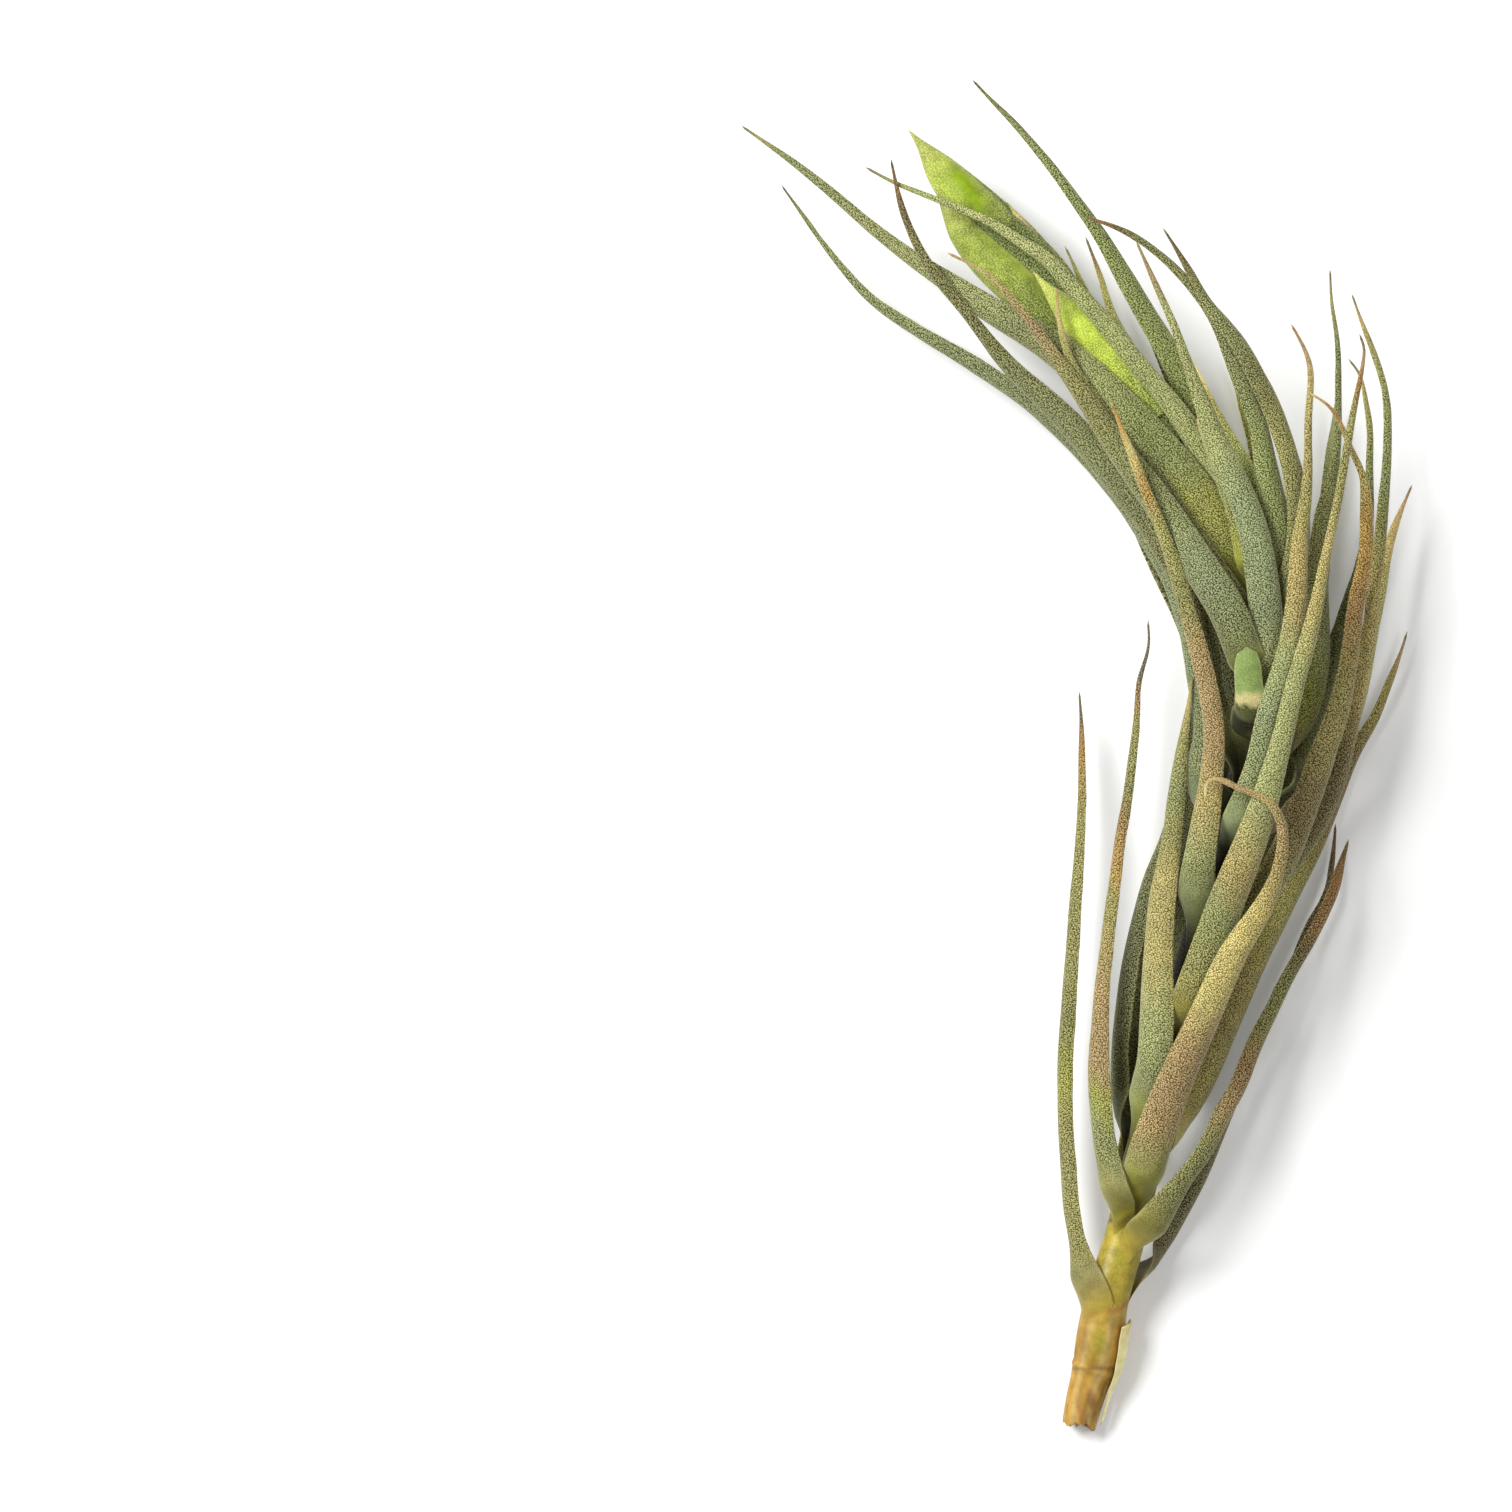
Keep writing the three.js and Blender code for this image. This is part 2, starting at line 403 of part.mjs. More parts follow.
// The flower spike at the end of the stem: a plump core and the bracts that overlap round it. Each
// course runs from the tip down, as x, y and width; "height" is the height of its core line at the tip
// and at the foot, and "face" the side that a bract's back looks to.
const FLOWER_SPIKE = {
  height: [12, 14.1],
  core: [
    [-22.5, 90, 1.6], [-19.3, 86.3, 3.6], [-15, 81.5, 6], [-10.5, 77, 7.6], [-6, 73.2, 7.4],
    [-2, 69.3, 5.6], [1, 65.9, 3.6],
  ],
  bracts: [
    {
      face: -32,
      course: [
        [-25.1, 93.3, 0.7], [-22.5, 90.3, 3.6], [-19.7, 86.9, 5.8], [-17.2, 82.9, 7], [-14.6, 78.9, 7.2],
        [-11.3, 75, 6.9], [-7.5, 71.4, 6.1], [-3, 67.7, 4.6],
      ],
    },
    {
      face: 38,
      course: [
        [-19.4, 88.9, 0.7], [-16.6, 86, 2.6], [-13.4, 82.8, 4.6], [-9.8, 79, 5.8], [-6.2, 75.3, 5.8],
        [-3, 71.5, 5], [-0.6, 68, 4],
      ],
    },
    {
      face: 98,
      course: [
        [-9.4, 82, 0.7], [-7.8, 79.5, 2.4], [-5.7, 76.3, 3.3], [-3.5, 72.6, 3.6], [-1, 68.5, 3.4],
      ],
    },
    {
      face: 180,
      course: [
        [-23, 91, 0.7], [-20, 87.2, 4.6], [-16.2, 82.6, 7.4], [-12, 78.2, 8.6], [-7.5, 73.8, 8.2],
        [-3, 69.2, 6],
      ],
    },
    {
      face: 290,
      course: [
        [-19.6, 80.8, 0.7], [-17.4, 77.4, 3], [-14.3, 73.9, 4.6], [-10.6, 70.7, 5.2], [-6.6, 67.8, 5],
        [-3.2, 65.6, 4],
      ],
    },
  ],
};

// The side spike that stands out of the leaves below it
const SIDE_SPIKE = {
  height: [20, 18.8],
  core: [
    [-4.6, 69.8, 1.4], [-1.6, 66.6, 3.4], [2, 62.9, 4.8], [5.6, 59, 5.2], [9, 54.8, 4.6], [12.2, 50.4, 3.6],
    [14.8, 47, 2.8],
  ],
  bracts: [
    {
      face: 14,
      course: [
        [-6.4, 71.9, 0.7], [-4.4, 69.5, 2.5], [-1.3, 66.3, 4.6], [2.2, 62.6, 6], [5.8, 58.7, 6.2],
        [9, 54.6, 5.4], [12, 50.6, 4.2],
      ],
    },
    {
      face: -62,
      course: [
        [-3.4, 66.8, 0.7], [-1.2, 63.9, 3], [2, 60.4, 4.2], [5.6, 56.8, 4.2], [9.2, 52.8, 3.6],
      ],
    },
    {
      face: 168,
      course: [
        [-4.4, 70, 0.7], [-1.2, 66.6, 4], [2.6, 62.6, 5.2], [6.2, 58.4, 5.2], [9.6, 54, 4.4],
      ],
    },
  ],
};

// The papery old sheath on the right of the bare stem: y and its width round the stem
const OLD_SHEATH = [
  [-99.4, 0.9],
  [-97.5, 1.8],
  [-94.5, 3],
  [-91, 4.2],
  [-87.5, 5],
  [-84.6, 5],
];
const OLD_SHEATH_SIDE = -78; // degrees from the top of the stem, looking down it to its cut end
const PAPER_THICK = 0.62;

const LEAF = { color: 0x8b9678, roughness: 0.85 };
const UNDER_LEAF = { color: 0x6b7459, roughness: 0.85 };
const SPIKE = { color: 0x8fae3c, roughness: 0.6 };
const BARK = { color: 0xa38a3e, roughness: 0.7 };
const PAPER = { color: 0xd9cf8c, roughness: 0.8 };

const up = new THREE.Vector3(0, 0, 1);
const smooth = (t) => THREE.MathUtils.smoothstep(t, 0, 1);

// A value at "place" along a list of known places, joined by straight lines
function along(places, values, place) {
  let i = 1;
  while (i < places.length - 1 && places[i] < place) i++;
  const share = (place - places[i - 1]) / (places[i] - places[i - 1]);
  return THREE.MathUtils.lerp(values[i - 1], values[i], THREE.MathUtils.clamp(share, 0, 1));
}

// The stem's axis point and radius at a given y; y grows all along the axis
const stemYs = STEM.map((p) => p[1]);
function stemAt(y) {
  return {
    centre: new THREE.Vector3(
      along(stemYs, STEM.map((p) => p[0]), y),
      y,
      along(stemYs, STEM.map((p) => p[2]), y),
    ),
    radius: along(stemYs, STEM.map((p) => p[3]), y),
  };
}

// The stem's direction at a given y, towards its spike end
function stemWayAt(y) {
  return stemAt(y + STEM_REACH).centre.sub(stemAt(y - STEM_REACH).centre).normalize();
}

// The frame of a section: "right" lies flat and across the course, "over" stands on both, and the
// section's back looks to "back" at the given angle from "over"
function sectionFrame(direction, angle) {
  const right = new THREE.Vector3().crossVectors(direction, up).normalize();
  const over = new THREE.Vector3().crossVectors(right, direction).normalize();
  const back = over.clone().multiplyScalar(Math.cos(angle)).addScaledVector(right, Math.sin(angle));
  const across = right.clone().multiplyScalar(Math.cos(angle)).addScaledVector(over, -Math.sin(angle));
  return { across, back };
}

// The outline of a channelled blade: the outer face from one edge to the other, then the inner face
// back again, as offsets across and towards the back
function bladeOutline({ width, arch, thickness, halfAngle }) {
  const outer = [];
  const inner = [];
  for (let i = 0; i < ARC_POINTS; i++) {
    const share = (2 * i) / (ARC_POINTS - 1) - 1;
    const a = share * halfAngle;
    const x = ((width / 2) * Math.sin(a)) / Math.sin(halfAngle);
    const y = (arch * (Math.cos(a) - Math.cos(halfAngle))) / (1 - Math.cos(halfAngle));
    const depth = thickness * (1 - EDGE_THINNING * share * share);
    const inset = Math.max(Math.abs(x) - depth * Math.abs(Math.sin(a)), INNER_SHARE * Math.abs(x));
    outer.push([x, y]);
    inner.unshift([Math.sign(x) * inset, y - depth * Math.max(Math.cos(a), INNER_SHARE)]);
  }
  return [...outer, ...inner];
}

// The outline of a plump spindle, such as a flower spike, with a keel on its back
function spindleOutline({ width, arch }) {
  const outline = [];
  const sides = 2 * ARC_POINTS;
  for (let i = 0; i < sides; i++) {
    const a = Math.PI - (2 * Math.PI * (i + 0.5)) / sides;
    outline.push([(width / 2) * Math.cos(a), arch * Math.sin(a)]);
  }
  return outline;
}

// The course of a leaf as a curve in plan, read from the tip to the point where it leaves the stem
function makeCourse(leaf) {
  const seat = stemAt(leaf.root);
  const sheathRadius = seat.radius + SEAT_GAP + SHEATH_THICK;
  const { back } = sectionFrame(stemWayAt(leaf.root), THREE.MathUtils.degToRad(leaf.side));
  const foot = seat.centre.clone().addScaledVector(back, sheathRadius * Math.cos(SHEATH_HALF_ANGLE));
  const plan = leaf.course.map(([x, y]) => new THREE.Vector3(x, y, 0));
  plan.push(new THREE.Vector3(foot.x, foot.y, 0));
  const curve = new THREE.CatmullRomCurve3(plan, false, "centripetal");
  curve.arcLengthDivisions = COURSE_STEPS;
  const widths = leaf.course.map((p) => p[2]);
  widths.push(2 * sheathRadius * Math.sin(SHEATH_HALF_ANGLE));
  return { curve, widths, foot, sheathRadius };
}

// How much of a sheath a leaf is at a length from its root: 1 there and 0 where its blade begins
const sheathShare = (fromRoot) => 1 - smooth(fromRoot / SHEATH_LENGTH);

// Places for the rings of a leaf: closer together where it bends, where it turns and near its tip
function ringPlaces(curve, turn, count) {
  const shares = [0];
  const grown = [0];
  const total = curve.getLength();
  let before = curve.getTangent(0);
  let sheath = 0;
  for (let i = 1; i <= COURSE_STEPS; i++) {
    const share = i / COURSE_STEPS;
    const tangent = curve.getTangentAt(share);
    const sheathHere = sheathShare((1 - share) * total);
    const turned = before.angleTo(tangent) + (sheathHere - sheath) * turn;
    const tipward = 1 + TIP_CROWDING * Math.exp((-share * total) / TIP_STRETCH);
    shares.push(share);
    grown.push(grown[i - 1] + tipward / COURSE_STEPS + BEND_CROWDING * turned);
    before = tangent;
    sheath = sheathHere;
  }
  const places = [];
  for (let k = 0; k < count; k++) {
    places.push(along(grown, shares, (grown[COURSE_STEPS] * k) / (count - 1)));
  }
  return places;
}

// The share of its width that a blade shows from above when it is turned by an angle: from one edge
// to the other, or to the top of its arch where that stands out further
function shownShare(angle) {
  const half = Math.abs(Math.cos(angle)) / 2;
  const share = half + Math.max(half, SAGITTA_SHARE * Math.abs(Math.sin(angle)));
  return Math.max(share, LEAST_SHOWN);
}

// The rings of a leaf: where each lies, how wide and how turned it is, and its first height
function planLeaf(leaf) {
  const { curve, widths, foot, sheathRadius } = makeCourse(leaf);
  const length = curve.getLength();
  const knots = widths.map((_, i) => i / (widths.length - 1));
  const turn = THREE.MathUtils.degToRad(Math.abs(leaf.side - leaf.face));
  const wanted = FEWEST_RINGS + length / RING_STEP + TURN_RINGS * turn;
  const places = ringPlaces(curve, turn, Math.min(Math.round(wanted), MOST_RINGS));
  const [tipHeight, thirdHeight, rootwardHeight] = leaf.height;
  const heights = [tipHeight, thirdHeight, rootwardHeight, foot.z];
  const rings = places.map((place) => {
    const t = curve.getUtoTmapping(place);
    const sheath = sheathShare((1 - place) * length);
    const turned = THREE.MathUtils.lerp(leaf.face, leaf.side, sheath);
    const angle = THREE.MathUtils.degToRad(turned);
    const seen = along(knots, widths, t);
    const full = Math.max(seen / shownShare(angle), NARROWEST);
    const width = THREE.MathUtils.lerp(full, 2 * sheathRadius * Math.sin(SHEATH_HALF_ANGLE), sheath);
    const bladeThick = Math.min(BLADE_THIN + WIDTH_TO_THICKNESS * (width - NARROWEST), BLADE_THICK);
    return {
      distance: place * length,
      sheath,
      point: curve.getPointAt(place),
      angle,
      width,
      arch: THREE.MathUtils.lerp(
        SAGITTA_SHARE * width,
        sheathRadius * (1 - Math.cos(SHEATH_HALF_ANGLE)),
        sheath,
      ),
      thickness: THREE.MathUtils.lerp(bladeThick, SHEATH_THICK, sheath),
      halfAngle: THREE.MathUtils.lerp(BLADE_HALF_ANGLE, SHEATH_HALF_ANGLE, sheath),
      height: along([0, 1 / 3, 2 / 3, 1], heights, place),
    };
  });
  evenOut(rings);
  return rings;
}

// Takes the corners out of the heights
function evenOut(rings) {
  for (let pass = 0; pass < HEIGHT_EVENINGS; pass++) {
    const old = rings.map((r) => r.height);
    for (let i = 1; i < rings.length - 1; i++) {
      rings[i].height = (old[i - 1] + 2 * old[i] + old[i + 1]) / 4;
    }
  }
}

// The closed surface of a leaf from its rings: vertices, triangles and the ring of each vertex. The
// outline's second half runs back, so its squares are split the other way: both faces are split alike
function skin(rings, outlineOf) {
  const vertices = [];
  const ringOf = [];
  const triangles = [];
  const centres = rings.map((r) => new THREE.Vector3(r.point.x, r.point.y, r.height));
  let sides = 0;
  rings.forEach((ring, k) => {
    const before = centres[Math.max(k - 1, 0)];
    const after = centres[Math.min(k + 1, centres.length - 1)];
    const towardsTip = before.clone().sub(after).normalize();
    const { across, back } = sectionFrame(towardsTip, ring.angle);
    const outline = outlineOf(ring);
    sides = outline.length;
    for (const [x, y] of outline) {
      vertices.push(centres[k].clone().addScaledVector(across, x).addScaledVector(back, y));
      ringOf.push(k);
    }
  });
  for (let k = 0; k + 1 < rings.length; k++) {
    for (let i = 0; i < sides; i++) {
      const a = k * sides + i;
      const b = k * sides + ((i + 1) % sides);
      if (i < sides / 2) triangles.push([a, b + sides, b], [a, a + sides, b + sides]);
      else triangles.push([a, a + sides, b], [b, a + sides, b + sides]);
    }
  }
  const wayOut = centres[0].clone().sub(centres[1]).normalize();
  const first = new THREE.Vector3();
  for (let i = 0; i < sides; i++) first.add(vertices[i]);
  first.divideScalar(sides).addScaledVector(wayOut, POINT_LENGTH);
  const tip = vertices.push(first) - 1;
  ringOf.push(0);
  for (let i = 0; i < sides; i++) triangles.push([tip, i, (i + 1) % sides]);
  const last = (rings.length - 1) * sides;
  for (let i = 0; i < sides / 2 - 1; i++) {
    const a = last + i;
    const b = last + sides - 1 - i;
    triangles.push([a + 1, a, b], [a + 1, b, b - 1]);
  }
  return { vertices, triangles, ringOf };
}

// Heights of what has been laid so far, square by square
const columns = Math.ceil((2 * GRID_X) / CELL);
const rows = Math.ceil((2 * GRID_Y) / CELL);
const highest = new Float32Array(columns * rows).fill(-Infinity);
const lowest = new Float32Array(columns * rows).fill(Infinity);

// Calls "use" with each square under a triangle, and the triangle's height there
function eachSquare(a, b, c, use) {
  const area = (b.x - a.x) * (c.y - a.y) - (c.x - a.x) * (b.y - a.y);
  if (Math.abs(area) < ON_EDGE) return;
  const low = Math.min(a.z, b.z, c.z);
  const high = Math.max(a.z, b.z, c.z);
  const firstColumn = Math.floor((Math.min(a.x, b.x, c.x) + GRID_X) / CELL - 0.5);
  const lastColumn = Math.ceil((Math.max(a.x, b.x, c.x) + GRID_X) / CELL - 0.5);
  const firstRow = Math.floor((Math.min(a.y, b.y, c.y) + GRID_Y) / CELL - 0.5);
  const lastRow = Math.ceil((Math.max(a.y, b.y, c.y) + GRID_Y) / CELL - 0.5);
  const slack = (CELL_MARGIN * CELL) / Math.sqrt(Math.abs(area));
  for (let row = firstRow; row <= lastRow; row++) {
    for (let column = firstColumn; column <= lastColumn; column++) {
      const x = (column + 0.5) * CELL - GRID_X;
      const y = (row + 0.5) * CELL - GRID_Y;
      const u = ((b.x - x) * (c.y - y) - (c.x - x) * (b.y - y)) / area;
      const v = ((c.x - x) * (a.y - y) - (a.x - x) * (c.y - y)) / area;
      const w = 1 - u - v;
      if (u < -slack || v < -slack || w < -slack) continue;
      const z = THREE.MathUtils.clamp(u * a.z + v * b.z + w * c.z, low, high);
      use(row * columns + column, z);
    }
  }
}

function record({ vertices, triangles }) {
  for (const [i, j, k] of triangles) {
    eachSquare(vertices[i], vertices[j], vertices[k], (square, z) => {
      highest[square] = Math.max(highest[square], z);
      lowest[square] = Math.min(lowest[square], z);
    });
  }
}

// Lays a leaf over what is there ("way" 1) or under it ("way" -1): where it would cut into it, its
// rings are raised or lowered, and the change eases off along the leaf
function lay(leaf, way, outlineOf) {
  const rings = planLeaf(leaf);
  let made = skin(rings, outlineOf);
  for (let pass = 0; pass < MOST_PASSES; pass++) {
    const need = new Array(rings.length).fill(0);
    for (const triangle of made.triangles) {
      const [a, b, c] = triangle.map((i) => made.vertices[i]);
      let most = 0;
      eachSquare(a, b, c, (square, z) => {
        const clear = way > 0 ? z - highest[square] : lowest[square] - z;
        most = Math.max(most, SEAT_GAP - clear);
      });
      if (most < CLOSE_ENOUGH) continue;
      for (const i of triangle) need[made.ringOf[i]] = Math.max(need[made.ringOf[i]], most);
    }
    if (Math.max(...need) < CLOSE_ENOUGH) break;
    const spread = pass < WIDE_PASSES ? WIDE_SPREAD : NEAR_SPREAD;
    const change = rings.map((ring, k) => {
      const shared = rings.map((other, i) => {
        const apart = (ring.distance - other.distance) / spread;
        return need[i] * Math.exp(-apart * apart);
      });
      return Math.max(need[k], (1 - ring.sheath) * Math.max(...shared));
    });
    rings.forEach((ring, i) => {
      ring.height += way * change[i];
    });
    made = skin(rings, outlineOf);
  }
  if (leaf.rests) {
    restOnTable(rings, made);
    made = skin(rings, outlineOf);
  }
  record(made);
  return made;
}

// Brings the lowest stretch of a leaf down until it is pressed on the table
function restOnTable(rings, { vertices, ringOf }) {
  let lowestVertex = 0;
  vertices.forEach((v, i) => {
    if (v.z < vertices[lowestVertex].z) lowestVertex = i;
  });
  const above = vertices[lowestVertex].z + PRESSED - TABLE_Z;
  const middle = rings[ringOf[lowestVertex]].distance;
  for (const ring of rings) {
    const apart = (ring.distance - middle) / WIDE_SPREAD;
    ring.height -= above * Math.exp(-apart * apart) * (1 - ring.sheath);
  }
}

function toGeometry({ vertices, triangles }) {
  const geometry = new THREE.BufferGeometry();
  const positions = new Float32Array(vertices.length * 3);
  vertices.forEach((v, i) => v.toArray(positions, 3 * i));
  geometry.setAttribute("position", new THREE.BufferAttribute(positions, 3));
  geometry.setIndex(triangles.flat());
  geometry.computeVertexNormals();
  return geometry;
}

const plant = new THREE.Group();
plant.name = "tillandsia_kirschnekii";
const pieces = [];

function add(name, surface, finish) {
  pieces.push({ name, surface, finish });
}

// The stem: a loft of round sections, slanted at its cut end
function makeStem() {
  const vertices = [];
  const triangles = [];
  STEM.forEach(([x, y, z, radius], k) => {
    const centre = new THREE.Vector3(x, y, z);
    const before = new THREE.Vector3(...STEM[Math.max(k - 1, 0)]);
    const after = new THREE.Vector3(...STEM[Math.min(k + 1, STEM.length - 1)]);
    const { across, back } = sectionFrame(after.sub(before).normalize(), 0);
    for (let i = 0; i < STEM_SIDES; i++) {
      const a = (2 * Math.PI * i) / STEM_SIDES;
      vertices.push(
        centre
          .clone()
          .addScaledVector(across, -radius * Math.cos(a))
          .addScaledVector(back, radius * Math.sin(a)),
      );
    }
  });
  for (let k = 0; k + 1 < STEM.length; k++) {
    for (let i = 0; i < STEM_SIDES; i++) {
      const a = k * STEM_SIDES + i;
      const b = k * STEM_SIDES + ((i + 1) % STEM_SIDES);
      triangles.push([a, b, b + STEM_SIDES], [a, b + STEM_SIDES, a + STEM_SIDES]);
    }
  }
  const last = (STEM.length - 1) * STEM_SIDES;
  for (let i = 1; i + 1 < STEM_SIDES; i++) {
    triangles.push([0, i + 1, i], [last, last + i, last + i + 1]);
  }
  return { vertices, triangles };
}

const toSolid = ({ vertices, triangles }) => {
  const vertProperties = new Float32Array(vertices.length * 3);
  vertices.forEach((v, i) => v.toArray(vertProperties, 3 * i));
  const triVerts = new Uint32Array(triangles.flat());
  return new wasm.Manifold(new wasm.Mesh({ numProp: 3, vertProperties, triVerts }));
};

function fromSolid(solid) {
  const mesh = solid.getMesh();
  const vertices = [];
  for (let i = 0; i < mesh.numVert; i++) {
    const start = i * mesh.numProp;
    vertices.push(new THREE.Vector3().fromArray(mesh.vertProperties, start));
  }
  const triangles = [];
  for (let i = 0; i < mesh.numTri; i++) triangles.push([...mesh.triVerts.subarray(3 * i, 3 * i + 3)]);
  return { vertices, triangles };
}

// Rings along a given course, as many as its points allow, at heights from the tip's to the foot's
function spikeRings(course, height, sectionOf, ringsPerPoint) {
  const plan = course.map(([x, y]) => new THREE.Vector3(x, y, 0));
  const curve = new THREE.CatmullRomCurve3(plan, false, "centripetal");
  const widths = course.map((p) => p[2]);
  const knots = widths.map((_, i) => i / (widths.length - 1));
  const count = Math.round((course.length - 1) * ringsPerPoint) + 1;
  const rings = [];
  for (let k = 0; k < count; k++) {
    const t = k / (count - 1);
    const point = curve.getPoint(t);
    const width = along(knots, widths, t);
    rings.push({ point, width, height: heightOf(point, height), ...sectionOf(width) });
  }
  return rings;
}

// The height of a spike's core line at a point: straight from its foot to its tip
function heightOf(point, { tip, foot, tipHeight, footHeight }) {
  const way = new THREE.Vector2(foot.x - tip.x, foot.y - tip.y);
  const share = way.dot(new THREE.Vector2(point.x - tip.x, point.y - tip.y)) / way.lengthSq();
  return THREE.MathUtils.lerp(tipHeight, footHeight, share);
}

function makeSpike({ height, core, bracts }) {
  const line = {
    tip: new THREE.Vector2(core[0][0], core[0][1]),
    foot: new THREE.Vector2(core.at(-1)[0], core.at(-1)[1]),
    tipHeight: height[0],
    footHeight: height[1],
  };
  const coreRings = spikeRings(
    core,
    line,
    (width) => ({ angle: 0, arch: CORE_DEPTH * width }),
    CORE_RINGS,
  );
  let solid = toSolid(skin(coreRings, spindleOutline));
  for (const { face, course } of bracts) {
    const angle = THREE.MathUtils.degToRad(face);
    const section = (width) => ({
      angle,
      arch: BRACT_ARCH * width,
      thickness: Math.min(BLADE_THIN + WIDTH_TO_THICKNESS * width, BRACT_THICK),
      halfAngle: BRACT_HALF_ANGLE,
    });
    const rings = spikeRings(course, line, section, BRACT_RINGS);
    solid = solid.add(toSolid(skin(rings, bladeOutline)));
  }
  // The hollows that the bracts close off inside are filled: only the outer surface is kept
  const shells = solid.decompose().sort((a, b) => b.volume() - a.volume());
  return fromSolid(shells[0]);
}

// The papery flap, which hugs the bare stem
function makeOldSheath() {
  const angle = THREE.MathUtils.degToRad(OLD_SHEATH_SIDE);
  const rings = OLD_SHEATH.map(([y, width]) => {
    const { centre, radius } = stemAt(y);
    const { back } = sectionFrame(stemWayAt(y).negate(), angle);
    const outer = radius + SEAT_GAP + PAPER_THICK;
    const halfAngle = Math.asin(width / 2 / outer);
    centre.addScaledVector(back, outer * Math.cos(halfAngle));
    return {
      point: centre,
      height: centre.z,
      width,
      angle,
      halfAngle,
      arch: outer * (1 - Math.cos(halfAngle)),
      thickness: PAPER_THICK,
    };
  });
  return skin(rings, bladeOutline);
}

const stem = makeStem();
const flowerSpike = makeSpike(FLOWER_SPIKE);
const sideSpike = makeSpike(SIDE_SPIKE);
const oldSheath = makeOldSheath();
for (const surface of [stem, flowerSpike, sideSpike, oldSheath]) record(surface);
add("stem", stem, BARK);
add("old_sheath", oldSheath, PAPER);
add("flower_spike", flowerSpike, SPIKE);
add("side_spike", sideSpike, SPIKE);

for (const leaf of OVER) add(leaf.name, lay(leaf, 1, bladeOutline), LEAF);
for (const leaf of UNDER) add(leaf.name, lay(leaf, -1, bladeOutline), UNDER_LEAF);

// What lies on the table is pressed flat on it
for (const { surface } of pieces) {
  for (const vertex of surface.vertices) vertex.z = Math.max(vertex.z, TABLE_Z);
}

for (const { name, surface, finish } of pieces) {
  const mesh = new THREE.Mesh(toGeometry(surface), new THREE.MeshStandardMaterial(finish));
  mesh.name = name;
  plant.add(mesh);
}

export default plant;
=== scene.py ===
"""Looks of a cut air plant that lies on its side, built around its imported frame.

Every leaf is a fine blade drawn through the rings of its own CAD node, with a thin margin, a drawn-out
point and a sheath that closes on the stem. The spikes are built bract by bract, and the stem, its old
papery sheath and the stage follow. Lengths in the tables are millimetres, in the frame of the part."""

import math

import bmesh
import bpy
import numpy as np
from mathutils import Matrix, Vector


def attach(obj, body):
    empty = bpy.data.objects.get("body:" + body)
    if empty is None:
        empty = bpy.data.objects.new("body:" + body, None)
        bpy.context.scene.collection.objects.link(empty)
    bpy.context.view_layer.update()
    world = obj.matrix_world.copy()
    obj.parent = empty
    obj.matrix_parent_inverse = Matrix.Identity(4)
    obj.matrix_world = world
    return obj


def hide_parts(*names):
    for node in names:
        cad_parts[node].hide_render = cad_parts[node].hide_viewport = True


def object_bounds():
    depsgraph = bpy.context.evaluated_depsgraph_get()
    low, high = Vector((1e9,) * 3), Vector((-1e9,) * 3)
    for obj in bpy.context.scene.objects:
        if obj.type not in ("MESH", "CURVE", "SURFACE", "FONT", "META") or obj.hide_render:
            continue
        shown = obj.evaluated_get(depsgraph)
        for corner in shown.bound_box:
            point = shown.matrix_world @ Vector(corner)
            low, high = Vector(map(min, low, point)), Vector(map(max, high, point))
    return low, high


bl_info = {
    "name": "Air plant builder",
    "version": (1, 0, 0),
    "blender": (4, 5, 0),
    "location": "View3D > Sidebar > Air plant",
    "description": "Dresses the packed frame of an air plant: leaves, spikes, stem, sheaths and stage",
    "category": "Add Mesh",
}

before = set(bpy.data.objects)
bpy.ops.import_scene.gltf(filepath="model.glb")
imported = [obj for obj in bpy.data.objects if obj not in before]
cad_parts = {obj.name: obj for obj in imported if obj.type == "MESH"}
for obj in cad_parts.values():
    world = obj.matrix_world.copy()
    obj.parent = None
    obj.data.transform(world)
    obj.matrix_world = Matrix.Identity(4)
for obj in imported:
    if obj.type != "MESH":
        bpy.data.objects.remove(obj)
CAD_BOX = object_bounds()

MM = 0.001
RING_POINTS = 10  # points of a section of a leaf's node: its back from edge to edge, then its hollow face
HALF_RING = RING_POINTS // 2
BACK_MIDDLE = HALF_RING // 2
WELD = 2e-6
BAKE_MAP = "OFBake"

# The photograph's frame: its width in pixels, the millimetres in one, and the pixel of the part's origin
PHOTO_PIXELS = 1512
PIXEL_SIZE = 0.15
ORIGIN_PIXEL = (1078.5, 754.5)

# Tones of the plant, as seen in soft daylight; shade is painted shade for the deep gaps among the leaves
TONES = dict(
    soot="5b534c", umber="6b5030", chestnut="5a3814", rust="99683a", orange="b98d46", tan="b59f6b",
    straw="c6b67d", rose="a98868", khaki="9b965c", olive="7e7f48", moss="666c35", sage="8a9467",
    mist="a3aa7c", teal="83947a", green="88995a", deep_green="63782f", citron="9da035", lime="a5b647",
    mint="94ac62", bright_lime="bfd548", vivid_green="7f9a08", cream="dccf98", paper="ebe0a0",
    wine="4a1f12", peach="c9bd66", shade="26240f", deep_moss="4a5020", bronze="5c4c16", dry="8c7e4a",
    bark="bd9440", sheath="bba63f", collar="8b8028")
